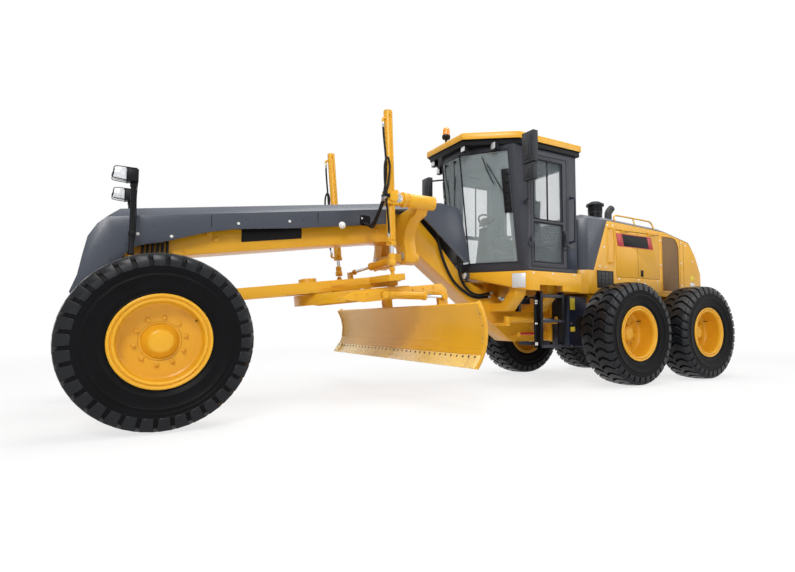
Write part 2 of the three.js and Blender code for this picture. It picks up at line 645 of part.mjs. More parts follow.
function moldboard() {
  const face = arcPoints(ARC.r, ARC.low, ARC.high, 10);
  const back = arcPoints(ARC.r + BLADE_T, ARC.high, ARC.low + 2, 10);
  const blade = side([...face, ...back], -BLADE_HALF, BLADE_HALF);
  const rails = [RAIL_HIGH, RAIL_LOW].map(([w0, w1]) => {
    const depth = (w) => ARC.u + Math.sqrt((ARC.r + BLADE_T / 2) ** 2 - (w - ARC.w) ** 2);
    return side([[depth(w0), w0], [RAIL_BACK, w0], [RAIL_BACK, w1], [depth(w1), w1]], -1400, 1400);
  });
  const inner = ARC.r + 4;
  const ends = [LEFT, RIGHT].map((s) => side(
    [...arcPoints(inner, ARC.low + 4, ARC.high, 8), ...arcPoints(ARC.r + 60, ARC.high, ARC.low + 4, 8)],
    s * (BLADE_HALF - 30), s * (BLADE_HALF - 55)));
  return join(blade, ...rails, ...ends);
}

function bladeCarrier() {
  const parts = [bar([PITCH_U, -CRANK_Y1, PITCH_W], [PITCH_U, CRANK_Y1, PITCH_W], PITCH_PIN_R)];
  parts.push(bar([PITCH_U, -620, PITCH_W], [PITCH_U, 620, PITCH_W], 60));
  const back = RAIL_BACK + 0.5;
  const high = RAIL_HIGH[1] + 0.5;
  const low = RAIL_LOW[0] - 0.5;
  const shoe = [[back, low], [2225, low], [2225, low - 20], [2350, low - 20], [2480, -730],
    [2490, -650], [2380, -340], [2245, -340], [2245, high], [back, high]];
  const crank = [[2380, -700], [2440, -755], [2500, -700], [2515, -300], [2505, -200], [2430, -185],
    [2400, -230], [2410, -480]];
  for (const s of [LEFT, RIGHT]) {
    parts.push(side(shoe, s * 540, s * 600));
    parts.push(side(crank, s * CRANK_Y0, s * CRANK_Y1));
  }
  parts.push(box(2330, 2385, -560, 560, -400, -345));
  return join(...parts);
}

function tipCylinder(parent) {
  const from = new THREE.Vector3(TIP_FROM[0], -TIP_V, TIP_FROM[1]);
  const to = new THREE.Vector3(TIP_TO[0], -TIP_V, TIP_TO[1]);
  const reach = from.distanceTo(to);
  const at = (distance) => along(from, to, distance);
  const eyeAt = ([u, w], v0, r) => bar([u, -v0, w], [u, -TIP_V - 30, w], r);
  const tube = bar(at(48), at(480), 42);
  const boss = bar(at(20), at(60), 26);
  const eye = eyeAt(TIP_FROM, TIP_LUG_V + GAP, 40);
  const bore = bar(at(80), at(600), slideHole(20));
  piece('tip_barrel', cut(join(tube, boss, eye), bore), YELLOW, parent);
  const rod = bar(at(240), at(reach - 20), 20);
  piece('tip_rod', join(rod, eyeAt(TIP_TO, CRANK_Y1 + GAP, 36)), STEEL, parent);
}

// ---------------------------------------------------------------- cab
// The glazed front of the cab is a prow that leans forwards; inset moves every wall inwards.
function cabVolume(inset, z0, z1, half = CAB_HALF_W, prowX = CAB_PROW_X, lean = CAB_LEAN) {
  const run = CAB_SIDE_X - prowX;
  const rise = half - CAB_PROW_HALF;
  const length = Math.hypot(run, rise);
  const c = run / length;
  const d = rise / length;
  const y1 = CAB_PROW_HALF - c * inset + (d * (1 - d) * inset) / c;
  const x2 = CAB_SIDE_X + d * inset + (c * (c - 1) * inset) / d;
  const leanAt = (z) => (lean * (z - CAB_Z0)) / (CAB_Z1 - CAB_Z0);
  const ring = (z) => [
    [prowX + inset - leanAt(z), -y1, z], [x2 - leanAt(z), inset - half, z],
    [CAB_REAR_X - inset, inset - half, z], [CAB_REAR_X - inset, half - inset, z],
    [x2 - leanAt(z), half - inset, z], [prowX + inset - leanAt(z), y1, z],
  ];
  return loft([ring(z0), ring(z1)]);
}

const GLASS_Z0 = 1560;
const GLASS_Z1 = 2930;
const GLASS_REAR_X = 3885;

function glassRegion(edge) {
  const z0 = GLASS_Z0 + edge;
  const z1 = GLASS_Z1 - edge;
  const rear = (z) => GLASS_REAR_X - edge - (CAB_LEAN * (z - GLASS_Z0)) / (CAB_Z1 - CAB_Z0);
  const reach = CAB_HALF_W + 100;
  return side([[3200, z0], [rear(z0), z0], [rear(z1), z1], [3200, z1]], -reach, reach);
}

const DOOR_PIN_X = DOOR_X0 - 3;
const DOOR_PIN_Y = CAB_HALF_W + 16;
const DOOR_PIN_R = 14;
const DOOR_HINGES = [1750, 2600];
const HINGE_H = 60;

// One knuckle of a door hinge with its leaf, standing on the cab side between x0 and x1.
function doorKnuckle(s, z0, x0, x1) {
  return join(
    bar([DOOR_PIN_X, s * DOOR_PIN_Y, z0], [DOOR_PIN_X, s * DOOR_PIN_Y, z0 + HINGE_H], DOOR_PIN_R),
    box(x0, x1, s * (CAB_HALF_W - 4), s * DOOR_PIN_Y, z0, z0 + HINGE_H));
}

function cabFrame() {
  const outside = CAB_HALF_W + 100;
  const rearHalf = CAB_HALF_W - 160;
  const shell = cut(
    cabVolume(0, CAB_Z0, CAB_Z1),
    cabVolume(WALL, CAB_Z0 - 50, CAB_Z1 + 50),
    glassRegion(0),
    box(DOOR_X0 - CLEAR, DOOR_X1 + CLEAR, -outside, outside, DOOR_Z0 - CLEAR, DOOR_Z1 + CLEAR),
    box(CAB_REAR_X - 130, CAB_REAR_X + 70, -rearHalf, rearHalf, 1900, 2880));
  const parts = [shell];
  for (const s of [LEFT, RIGHT]) {
    for (const z of DOOR_HINGES) {
      parts.push(doorKnuckle(s, z, DOOR_PIN_X - 45, DOOR_PIN_X));
    }
  }
  return join(...parts);
}

function cabDoor(s) {
  const y0 = s * CAB_HALF_W;
  const y1 = s * (CAB_HALF_W - 45);
  const leaf = box(DOOR_X0, DOOR_X1, y0, y1, DOOR_Z0, DOOR_Z1);
  const [out, inner] = [s * (CAB_HALF_W + 100), s * (CAB_HALF_W - 100)];
  const upper = box(DOOR_X0 + 55, DOOR_X1 - 75, out, inner, 2110, DOOR_Z1 - 60);
  const lower = box(DOOR_X0 + 55, DOOR_X1 - 75, out, inner, DOOR_Z0 + 70, 2060);
  const parts = [cut(leaf, upper, lower)];
  for (const z of DOOR_HINGES) {
    parts.push(doorKnuckle(s, z + HINGE_H + GAP, DOOR_PIN_X, DOOR_PIN_X + 45));
  }
  return join(...parts);
}

function cabFloor() {
  const top = CAB_Z0 - GAP;
  const prow = CAB_PROW_X - 30;
  const hull = cabVolume(0, SKIRT_Z0, top, SKIRT_HALF_W, prow, 0);
  const room = cabVolume(SKIRT_T, SKIRT_Z0 - 50, FLOOR_Z, SKIRT_HALF_W, prow, 0);
  const outside = SKIRT_HALF_W + 30;
  const taper = side([[3300, 1100], [3937, 1100], [3937, SKIRT_Z0], [3480, 1385], [3300, 1450]],
    -outside, outside);
  const notches = [LEFT, RIGHT].map((s) => box(
    4112, 4500, s * (SKIRT_HALF_W - 90), s * outside, SKIRT_Z0 - 10, SKIRT_Z0 + 70));
  return cut(hull, room, taper, ...notches);
}

function windshield() {
  const sheet = cut(cabVolume(12, CAB_Z0, CAB_Z1), cabVolume(22, CAB_Z0 - 5, CAB_Z1 + 5));
  return sheet.intersect(glassRegion(GAP));
}

function cabRoof() {
  const low = CAB_Z1 + GAP;
  const half = (x0, yf, ys) => [[x0, -yf], [x0 + 540, -ys], [4880, -ys], [4880, ys],
    [x0 + 540, ys], [x0, yf]];
  const under = plan(half(3300, 400, CAB_HALF_W + 30), low, low + 70);
  const band = plan(half(3268, 430, CAB_HALF_W + 62), low + 60, 3145);
  const crown = plan(half(3330, 380, CAB_HALF_W), 3140, 3162);
  const beacon = join(bar([3500, 300, 3150], [3500, 300, 3360]),
    bar([3500, 300, 3350], [3500, 300, 3385], 58), bar([3500, 300, 3380], [3500, 300, 3500], 48, 16, 30));
  return join(under, band, crown, beacon);
}

function cabInterior() {
  const floorTop = CAB_Z0;
  const base = box(3780, 4740, -230, 230, floorTop, floorTop + 14);
  const pedestal = box(4330, 4640, -170, 170, floorTop + 5, 1830);
  const cushion = box(4230, 4720, -250, 250, 1815, 1930);
  const back = side([[4610, 1900], [4720, 1900], [4775, 2560], [4690, 2560]], -230, 230);
  const post = side([[3800, floorTop + 5], [3960, floorTop + 5], [4010, 2050], [3900, 2100]], -90, 90);
  const wheelAxis = [new THREE.Vector3(3950, 0, 2060), new THREE.Vector3(4020, 0, 2160)];
  const steering = bar(wheelAxis[0].toArray(), wheelAxis[1].toArray(), 30);
  const rim = bar(along(...wheelAxis, 110), along(...wheelAxis, 135), 190, 20);
  const arms = [LEFT, RIGHT].map((s) => box(4260, 4640, s * 245, s * 330, 1880, 2080));
  return join(base, pedestal, cushion, back, post, steering, rim, ...arms);
}

function ladder(s) {
  const top = FLOOR_Z - GAP;
  const outer = s * (SKIRT_HALF_W - 55);
  const parts = [4165, 4530].map((x) => box(x, x + 40, s * (SKIRT_HALF_W - 125), outer, 500, top));
  for (const z of [500, 810, 1125]) {
    parts.push(box(4165, 4570, s * (SKIRT_HALF_W - 165), outer, z, z + 35));
  }
  return join(...parts);
}

function mirror(s) {
  const x = 3720;
  const y = s * 1110;
  const wallX = 3960;
  const parts = [bar([x, y, 2260], [x, y, 3010], 14)];
  for (const z of [2290, 2960]) {
    parts.push(bar([x, y, z], [wallX, s * (CAB_HALF_W + 12), z], 13));
    parts.push(box(wallX - 35, wallX + 35, s * (CAB_HALF_W + GAP), s * (CAB_HALF_W + 18), z - 25, z + 25));
  }
  parts.push(box(x - 45, x + 25, s * 1065, s * 1260, 2650, 3010));
  parts.push(box(x - 40, x + 20, s * 1075, s * 1250, 2450, 2635));
  return join(...parts);
}

// ---------------------------------------------------------------- rear end
const RAIL_Y = [330, 430];
const RAIL_Z = [840, 1150];
const ART_PIN_X = HINGE_X + 100;
const ART_PIN_Y = 400;
const ART_LUG_TOP = 829.7;
const TANK_X0 = REAR_FRAME_X + 20;
const TANK_X1 = 5300;

function rearFrame() {
  const hingeBlock = box(REAR_FRAME_X, 5180, -215, 215, HINGE_LOW_Z, 1160);
  const parts = [hingeBlock];
  for (const s of [LEFT, RIGHT]) {
    parts.push(box(5310, 7600, s * RAIL_Y[0], s * RAIL_Y[1], RAIL_Z[0], RAIL_Z[1]));
    parts.push(box(ART_PIN_X - 40, TANK_X0 - GAP, s * 180, s * (ART_PIN_Y + 40), ART_LUG_TOP - 35,
      ART_LUG_TOP));
    parts.push(box(ART_PIN_X + 20, REAR_FRAME_X + 30, s * 150, s * 210, ART_LUG_TOP - 35,
      ART_LUG_TOP));
  }
  parts.push(box(5170, 5320, -215, 215, RAIL_Z[0], RAIL_Z[1]));
  parts.push(box(5310, 5420, -RAIL_Y[1], RAIL_Y[1], RAIL_Z[0], RAIL_Z[1]));
  parts.push(box(7480, 7600, -RAIL_Y[1], RAIL_Y[1], RAIL_Z[0], RAIL_Z[1]));
  const inside = HOOD_HALF_W - HOOD_WALL - GAP;
  for (const x of [5340, 7400]) {
    parts.push(box(x, x + 60, -inside, inside, 1140, 1330));
  }
  for (const z of [HINGE_LOW_Z + EAR_T + GAP, HINGE_HIGH_Z + EAR_T + GAP]) {
    parts.push(box(HINGE_X, REAR_FRAME_X + 10, -HINGE_R, HINGE_R, z, z + EAR_T));
    parts.push(bar([HINGE_X, 0, z], [HINGE_X, 0, z + EAR_T], HINGE_R));
    parts.push(bar([HINGE_X, 0, z - EAR_T - 15], [HINGE_X, 0, z + 5], HINGE_PIN_R));
  }
  return join(...parts);
}

function sideTank(s) {
  const y0 = 215 + GAP;
  return plan([[TANK_X0, s * y0], [TANK_X0, s * 490], [TANK_X0 + 30, s * 520], [TANK_X1, s * 520],
    [TANK_X1, s * y0]], 480, 1170);
}

function tandemAxle() {
  const parts = [bar([TANDEM_X, -640, TYRE_R], [TANDEM_X, 640, TYRE_R], 160, 20)];
  parts.push(ball([TANDEM_X, 0, TYRE_R], 250));
  const half = TANDEM_SPACING / 2;
  const beam = [[-half - 130, -80], [-half - 60, -150], [-150, -185], [150, -185], [half + 60, -150],
    [half + 130, -80], [half + 130, 80], [half + 60, 150], [150, 185], [-150, 185],
    [-half - 60, 150], [-half - 130, 80]].map(([x, z]) => [TANDEM_X + x, TYRE_R + z]);
  const hubFace = HALF_TRACK + REAR_DISC - HUB_DEPTH - GAP;
  for (const s of [LEFT, RIGHT]) {
    parts.push(side(beam, s * 610, s * 800));
    parts.push(box(TANDEM_X - 110, TANDEM_X + 110, s * 325, s * 435, TYRE_R, RAIL_Z[0] - GAP));
    for (const x of [MID_AXLE_X, REAR_AXLE_X]) {
      parts.push(bar([x, s * 790, TYRE_R], [x, s * hubFace, TYRE_R], 115, 20));
    }
  }
  return join(...parts);
}

const engine = () => box(5700, 6900, -420, 420, RAIL_Z[1] + GAP, 1950);

// The hood's outer skin, or the space inside it when t is the wall thickness.
function hoodVolume(t) {
  const stations = [
    [HOOD_X0, HOOD_Z0, 2195], [HOOD_X0 + 100, HOOD_Z0, 2270], [5740, HOOD_Z0, 2270],
    [6940, HOOD_Z0, 2222], [7560, HOOD_Z0, 2100], [7640, HOOD_Z0, 2012], [7740, 1275, 1880],
    [HOOD_X1, 1355, 1600],
  ];
  const last = stations.length - 1;
  const rings = stations.map(([x, z0, z1], i) => {
    const end = (i === 0 ? t : 0) - (i >= last - 1 ? t : 0);
    const y = HOOD_HALF_W - t;
    const low = t ? z0 - 60 : z0;
    const high = z1 - t;
    return [[x + end, -y, low], [x + end, y, low], [x + end, y, high],
      [x + end, y - 120, high + 62], [x + end, 120 - y, high + 62], [x + end, -y, high]];
  });
  return loft(rings);
}

function hoodShell() {
  const corners = [LEFT, RIGHT].map((s) => plan(
    [[HOOD_X0 - 5, s * (HOOD_HALF_W - 95)], [HOOD_X0 - 5, s * 700], [HOOD_X0 + 95, s * 700],
      [HOOD_X0 + 95, s * HOOD_HALF_W], [HOOD_X0, s * (HOOD_HALF_W - 95)]], 1000, 2500));
  const inner = cut(hoodVolume(HOOD_WALL), ...[LEFT, RIGHT].map((s) => plan(
    [[HOOD_X0 + HOOD_WALL - 5, s * (HOOD_HALF_W - 107)], [HOOD_X0 - 5, s * 700],
      [HOOD_X0 + 150, s * 700], [HOOD_X0 + 107, s * (HOOD_HALF_W - HOOD_WALL)],
      [HOOD_X0 + HOOD_WALL, s * (HOOD_HALF_W - 107)]], 1000, 2500)));
  return cut(hoodVolume(0), inner, ...corners);
}

// The grey part of the hood: its front, up to a slanted seam, and its whole top.
const SEAM_LOW_X = 5345;
const SEAM_HIGH_X = 5645;

function greyRegion(edge) {
  const nose = side([[5000, 1540 + edge], [SEAM_LOW_X - edge, 1540 + edge], [SEAM_HIGH_X - edge, 2300],
    [SEAM_HIGH_X - edge, 2600], [5000, 2600]], -700, 700);
  const top = side([[SEAM_HIGH_X - 40, 2262 + edge], [5740, 2262 + edge], [6940, 2214 + edge],
    [7560, 2092 + edge], [7640 - edge, 2004 + 3 * edge], [7640 - edge, 2600],
    [SEAM_HIGH_X - 40, 2600]],
  -700, 700);
  return join(nose, top);
}

const HOOD_PIN_Y = HOOD_HALF_W + 14;
const HOOD_PIN_Z = HOOD_DOOR_Z1 + 2;
const HOOD_HINGES = [HOOD_DOOR_X0 + 100, HOOD_DOOR_X1 - 280];
const HOOD_HINGE_L = 90;

function hoodKnuckle(s, x0, z0, z1) {
  return join(
    bar([x0, s * HOOD_PIN_Y, HOOD_PIN_Z], [x0 + HOOD_HINGE_L, s * HOOD_PIN_Y, HOOD_PIN_Z], 12),
    box(x0, x0 + HOOD_HINGE_L, s * (HOOD_HALF_W - 3), s * HOOD_PIN_Y, z0, z1));
}

function hood(shell) {
  const parts = [cut(
    cut(shell, greyRegion(0)),
    box(HOOD_DOOR_X0 - CLEAR, HOOD_DOOR_X1 + CLEAR, -700, 700, HOOD_DOOR_Z0 - CLEAR, HOOD_DOOR_Z1 + CLEAR))];
  for (const s of [LEFT, RIGHT]) {
    for (const x of HOOD_HINGES) {
      parts.push(hoodKnuckle(s, x + HOOD_HINGE_L + GAP, HOOD_PIN_Z, HOOD_PIN_Z + 24));
    }
  }
  return join(...parts);
}

function hoodCover(shell) {
  const cleaner = join(bar([5930, -150, 2290], [5930, -150, 2605], 105, 20),
    bar([5930, -150, 2592], [5930, -150, 2625], 133, 20),
    bar([5930, -150, 2620], [5930, -150, 2660], 130, 20, 70));
  const exhaust = join(bar([6400, 0, 2280], [6400, 0, 2560], 55), ball([6400, 0, 2560], 55),
    bar([6400, 0, 2560], [6480, 0, 2650], 55));
  return join(shell.intersect(greyRegion(GAP)), cleaner, exhaust);
}

function hoodDoor(s) {
  const parts = [box(HOOD_DOOR_X0, HOOD_DOOR_X1, s * (HOOD_HALF_W - 28), s * HOOD_HALF_W,
    HOOD_DOOR_Z0, HOOD_DOOR_Z1 - 5)];
  for (const x of HOOD_HINGES) {
    parts.push(hoodKnuckle(s, x, HOOD_PIN_Z - 34, HOOD_PIN_Z));
  }
  return join(...parts);
}

function articulationCylinder(s, frontParent, rearParent) {
  const from = new THREE.Vector3(CLEVIS_X, s * CLEVIS_Y, ART_Z);
  const to = new THREE.Vector3(ART_PIN_X, s * ART_PIN_Y, ART_Z);
  const reach = from.distanceTo(to);
  const at = (distance) => along(from, to, distance);
  const eye = (p, z0, r) => bar([p.x, p.y, z0], [p.x, p.y, ART_Z + 40], r);
  const bore = bar(at(100), at(700), slideHole(20));
  const tube = bar(at(30), at(600), ART_R);
  piece(`articulation_barrel_${sideName(s)}`,
    cut(join(tube, eye(from, ART_Z - 45 + GAP, 44)), bore), YELLOW, frontParent);
  const rod = bar(at(290), at(reach - 20), 20);
  piece(`articulation_rod_${sideName(s)}`,
    join(rod, eye(to, ART_LUG_TOP + GAP, 34)), STEEL, rearParent);
}

// ---------------------------------------------------------------- assembly
const machine = new THREE.Group();
const centre = (HOOD_X1 - TYRE_R) / 2;
machine.position.x = -centre;
const frontEnd = new THREE.Group();
const rearEnd = new THREE.Group();
machine.add(frontEnd, rearEnd);

piece('front_frame', frontFrame(), YELLOW, frontEnd);
piece('front_cover', frontCover(), GREY, frontEnd);
piece('saddle', saddle(), YELLOW, frontEnd);
piece('front_axle', frontAxle(), YELLOW, frontEnd);
piece('lean_bar', leanBar(), YELLOW, frontEnd);
piece('tie_rod', tieRod(), DARK_STEEL, frontEnd);
for (const s of [LEFT, RIGHT]) {
  const name = sideName(s);
  piece(`lean_carrier_${name}`, leanCarrier(s), YELLOW, frontEnd);
  piece(`knuckle_${name}`, knuckle(s), YELLOW, frontEnd);
  wheel(`front_${name}`, 0, s, FRONT_DISC, FRONT_CAP, frontEnd);
}

const drawbarFrame = new THREE.Group();
drawbarFrame.position.set(BALL_X, 0, BALL_Z);
drawbarFrame.rotation.y = -tilt;
frontEnd.add(drawbarFrame);
piece('drawbar_ball', drawbarBall(), DARK_STEEL, drawbarFrame);
piece('drawbar', drawbar(), YELLOW, drawbarFrame);
piece('circle', circle(), YELLOW, drawbarFrame);
piece('blade_carrier', bladeCarrier(), YELLOW, drawbarFrame);
piece('moldboard', moldboard(), YELLOW, drawbarFrame);
tipCylinder(drawbarFrame);
liftCylinder(LEFT, frontEnd);
liftCylinder(RIGHT, frontEnd);
shiftCylinder(frontEnd);

piece('cab_floor', cabFloor(), YELLOW, frontEnd);
piece('cab_frame', cabFrame(), GREY, frontEnd);
piece('cab_roof', cabRoof(), YELLOW, frontEnd);
piece('windshield', windshield(), GLASS, frontEnd);
piece('cab_interior', cabInterior(), UPHOLSTERY, frontEnd);
for (const s of [LEFT, RIGHT]) {
  const name = sideName(s);
  piece(`cab_door_${name}`, cabDoor(s), GREY, frontEnd);
  piece(`ladder_${name}`, ladder(s), BLACK, frontEnd);
  piece(`mirror_${name}`, mirror(s), BLACK, frontEnd);
  articulationCylinder(s, frontEnd, rearEnd);
}

const shell = hoodShell();
piece('rear_frame', rearFrame(), YELLOW, rearEnd);
piece('tandem_axle', tandemAxle(), YELLOW, rearEnd);
piece('engine', engine(), DARK_STEEL, rearEnd);
piece('hood', hood(shell), YELLOW, rearEnd);
piece('hood_cover', hoodCover(shell), GREY, rearEnd);
for (const s of [LEFT, RIGHT]) {
  const name = sideName(s);
  piece(`side_tank_${name}`, sideTank(s), NAVY, rearEnd);
  piece(`hood_door_${name}`, hoodDoor(s), YELLOW, rearEnd);
  wheel(`mid_${name}`, MID_AXLE_X, s, REAR_DISC, REAR_CAP, rearEnd);
  wheel(`rear_${name}`, REAR_AXLE_X, s, REAR_DISC, REAR_CAP, rearEnd);
}

export default machine;
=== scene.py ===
"""Looks of a motor grader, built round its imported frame. Lengths in the helpers are millimetres."""
import json
import math
import random

import bpy
import bmesh
from mathutils import Matrix, Vector


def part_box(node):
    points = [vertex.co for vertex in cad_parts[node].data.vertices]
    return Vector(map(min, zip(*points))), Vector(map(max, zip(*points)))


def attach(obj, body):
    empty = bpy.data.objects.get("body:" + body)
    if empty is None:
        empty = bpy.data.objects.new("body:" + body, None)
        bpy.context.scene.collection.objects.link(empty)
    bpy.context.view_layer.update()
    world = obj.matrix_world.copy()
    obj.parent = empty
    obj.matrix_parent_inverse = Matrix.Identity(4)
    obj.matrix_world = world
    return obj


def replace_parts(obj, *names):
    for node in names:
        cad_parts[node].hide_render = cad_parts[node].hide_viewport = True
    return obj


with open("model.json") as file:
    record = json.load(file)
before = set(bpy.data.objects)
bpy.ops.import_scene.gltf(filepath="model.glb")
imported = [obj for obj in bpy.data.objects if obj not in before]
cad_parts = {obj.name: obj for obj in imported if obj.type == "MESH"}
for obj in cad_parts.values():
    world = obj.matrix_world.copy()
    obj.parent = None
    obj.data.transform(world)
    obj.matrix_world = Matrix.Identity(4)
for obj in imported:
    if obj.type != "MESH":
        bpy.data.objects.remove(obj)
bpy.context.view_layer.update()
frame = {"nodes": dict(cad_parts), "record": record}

NODES = frame["nodes"]
BODY_OF = {n: b for b, ns in frame["record"]["behaviour"]["bodies"].items() for n in ns}
low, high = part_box("front_left_rim")
AXLE_X = (low[0] + high[0]) / 2
TILT = math.radians(6.5)
SIDES = (("left", -1), ("right", 1))
PHOTO_WIDTH, FOCAL_PX, SENSOR = 795, 525, 36
TYRE_R, LUGS, HALF_TRACK = 672, 34, 1078
MID_X, TANDEM_X, REAR_X = 5450, 6219, 6988
CIRCLE_U, HOOD_HALF = 1700, 620
LIFT_CLAMP = (2010, 850, 2112)
CLEANER = (5930, -150)
HOOD_TOP = ((5140, 2195), (5240, 2270), (5740, 2270), (6940, 2222), (7560, 2100), (7640, 2012),
        (7740, 1880), (7870, 1600))
BOX_FACES = ((0, 1, 3, 2), (4, 6, 7, 5), (0, 4, 5, 1), (2, 3, 7, 6), (0, 2, 6, 4), (1, 5, 7, 3))
rng = random.Random(7)


# ---------------------------------------------------------------- places
def W(x, y, z):
    """A place measured from the front axle, the centre line and the ground."""
    return Vector((x / 1000 + AXLE_X, y / 1000, z / 1000))


def D(u, v, w):
    """A place in the drawbar's own frame: u along it from its ball, w square to it."""
    return W(330 + u * math.cos(TILT) - w * math.sin(TILT), v,
            1050 + u * math.sin(TILT) + w * math.cos(TILT))


def span(s, a, b):
    """The stretch from a to b out from the centre line on side s, lower end first."""
    return (a, b) if s > 0 else (-b, -a)


def around(n, r, start=0.0):
    """n places on a circle of radius r, as pairs."""
    return [(r * math.cos(start + 2 * math.pi * k / n), r * math.sin(start + 2 * math.pi * k / n))
            for k in range(n)]


def to_mm(p):
    """W undone: a place in the frame's metres, in millimetres from the front axle."""
    return ((p[0] - AXLE_X) * 1000, p[1] * 1000, p[2] * 1000)


# ---------------------------------------------------------------- camera, light and stage
def set_camera():
    cam = bpy.data.objects.new("camera", bpy.data.cameras.new("camera"))
    bpy.context.collection.objects.link(cam)
    cam.data.sensor_width = SENSOR
    cam.data.lens = FOCAL_PX / PHOTO_WIDTH * SENSOR
    cam.data.shift_x = -0.0522
    cam.data.clip_end = 200
    cam.location = W(-320, -5650, 810)
    cam.rotation_euler = (math.radians(94), 0, math.radians(-31.9))
    bpy.context.scene.camera = cam


def area_light(name, place, size, power, aim):
    lamp = bpy.data.lights.new(name, "AREA")
    lamp.shape, lamp.size, lamp.energy = "DISK", size, power
    ob = bpy.data.objects.new(name, lamp)
    bpy.context.collection.objects.link(ob)
    ob.location = place
    ob.rotation_euler = (Vector(aim) - Vector(place)).to_track_quat("-Z", "Y").to_euler()


def fill(node, **values):
    """Sets a node's inputs; a name is written with _ for each space."""
    for name, value in values.items():
        node.inputs[name.replace("_", " ")].default_value = value
    return node


def new_node(tree, kind, **values):
    return fill(tree.nodes.new("ShaderNode" + kind), **values)


def new_material(name):
    mat = bpy.data.materials.new(name)
    mat.use_nodes = True
    return mat, mat.node_tree, mat.node_tree.nodes["Principled BSDF"]


def seen_directly(tree):
    """1 for rays that show a backdrop: from the camera, a mirror-like surface or glass."""
    path = new_node(tree, "LightPath")
    seen = path.outputs["Is Camera Ray"]
    for ray in ("Is Glossy Ray", "Is Transmission Ray"):
        either = new_node(tree, "Math")
        either.operation = "MAXIMUM"
        tree.links.new(seen, either.inputs[0])
        tree.links.new(path.outputs[ray], either.inputs[1])
        seen = either.outputs[0]
    return seen


def blend(tree, share, plain, shown, out):
    """Sends plain to the output, and shown in its place by share."""
    mix = new_node(tree, "MixShader")
    for socket, source in zip(mix.inputs, (share, plain.outputs[0], shown.outputs[0])):
        tree.links.new(source, socket)
    tree.links.new(mix.outputs[0], out.inputs[0])


def set_stage():
    """Soft light on the object, and a floor and background that the camera sees as white."""
    scene = bpy.context.scene
    scene.view_settings.view_transform = "Standard"
    world = bpy.data.worlds.new("studio")
    scene.world = world
    world.use_nodes = True
    tree = world.node_tree
    tree.nodes.clear()
    white = (1, 1, 1, 1)
    blend(tree, seen_directly(tree), new_node(tree, "Background", Color=white, Strength=0.40),
          new_node(tree, "Background", Color=white), new_node(tree, "OutputWorld"))
    bpy.ops.mesh.primitive_plane_add(size=90, location=(0, 0, -0.002))
    floor = bpy.context.object
    floor.name = "studio_floor"
    paint, tree, bsdf = new_material("studio_floor")
    fill(bsdf, Base_Color=(0.86, 0.86, 0.86, 1), Roughness=0.9)
    coords, length = new_node(tree, "TexCoord"), new_node(tree, "VectorMath")
    length.operation = "LENGTH"
    tree.links.new(coords.outputs["Object"], length.inputs[0])
    scale = new_node(tree, "Math")
    scale.operation = "MULTIPLY"
    tree.links.new(seen_directly(tree), scale.inputs[0])
    tree.links.new(levels(tree, length.outputs["Value"], 0.74, 1.0, 5.0, 13.0), scale.inputs[1])
    blend(tree, scale.outputs[0], bsdf, new_node(tree, "Emission"), tree.nodes["Material Output"])
    floor.data.materials.append(paint)
    area_light("key", (-7, -9, 8), 4, 680, (0, 0, 1))
    area_light("fill", (9, -8, 5), 6, 200, (0, 0, 1))
    area_light("back", (2, 9, 8), 6, 260, (0, 0, 1.2))
    area_light("overhead", (0, -1, 9), 8, 620, (0, 0, 1))


# ---------------------------------------------------------------- materials
def object_coords(tree, target, **values):
    """Feeds a texture node the object's own coordinates through a mapping."""
    coords, mapping = new_node(tree, "TexCoord"), new_node(tree, "Mapping", **values)
    tree.links.new(coords.outputs["Object"], mapping.inputs["Vector"])
    tree.links.new(mapping.outputs["Vector"], target.inputs["Vector"])


def noise(tree, scale, detail=3.0, stretch=(1, 1, 1)):
    tex = new_node(tree, "TexNoise", Scale=scale, Detail=detail)
    object_coords(tree, tex, Scale=stretch)
    return tex.outputs["Fac"]


def ramp(tree, source, stops):
    node = new_node(tree, "ValToRGB")
    first, last = node.color_ramp.elements
    first.position, first.color = stops[0][0], (*stops[0][1], 1)
    last.position, last.color = stops[-1][0], (*stops[-1][1], 1)
    for place, color in stops[1:-1]:
        node.color_ramp.elements.new(place).color = (*color, 1)
    tree.links.new(source, node.inputs[0])
    return node.outputs["Color"]


def levels(tree, source, a, b, low=0.0, high=1.0):
    """Maps low to high onto a to b."""
    node = new_node(tree, "MapRange", From_Min=low, From_Max=high, To_Min=a, To_Max=b)
    tree.links.new(source, node.inputs["Value"])
    return node.outputs["Result"]


def bump(tree, bsdf, source, strength, distance=0.001):
    node = new_node(tree, "Bump", Strength=strength, Distance=distance)
    tree.links.new(source, node.inputs["Height"])
    tree.links.new(node.outputs["Normal"], bsdf.inputs["Normal"])


def multiply(tree, a, b):
    node = new_node(tree, "Mix")
    node.data_type, node.blend_type = "RGBA", "MULTIPLY"
    node.inputs["Factor"].default_value = 1
    tree.links.new(a, node.inputs["A"])
    tree.links.new(b, node.inputs["B"])
    return node.outputs["Result"]


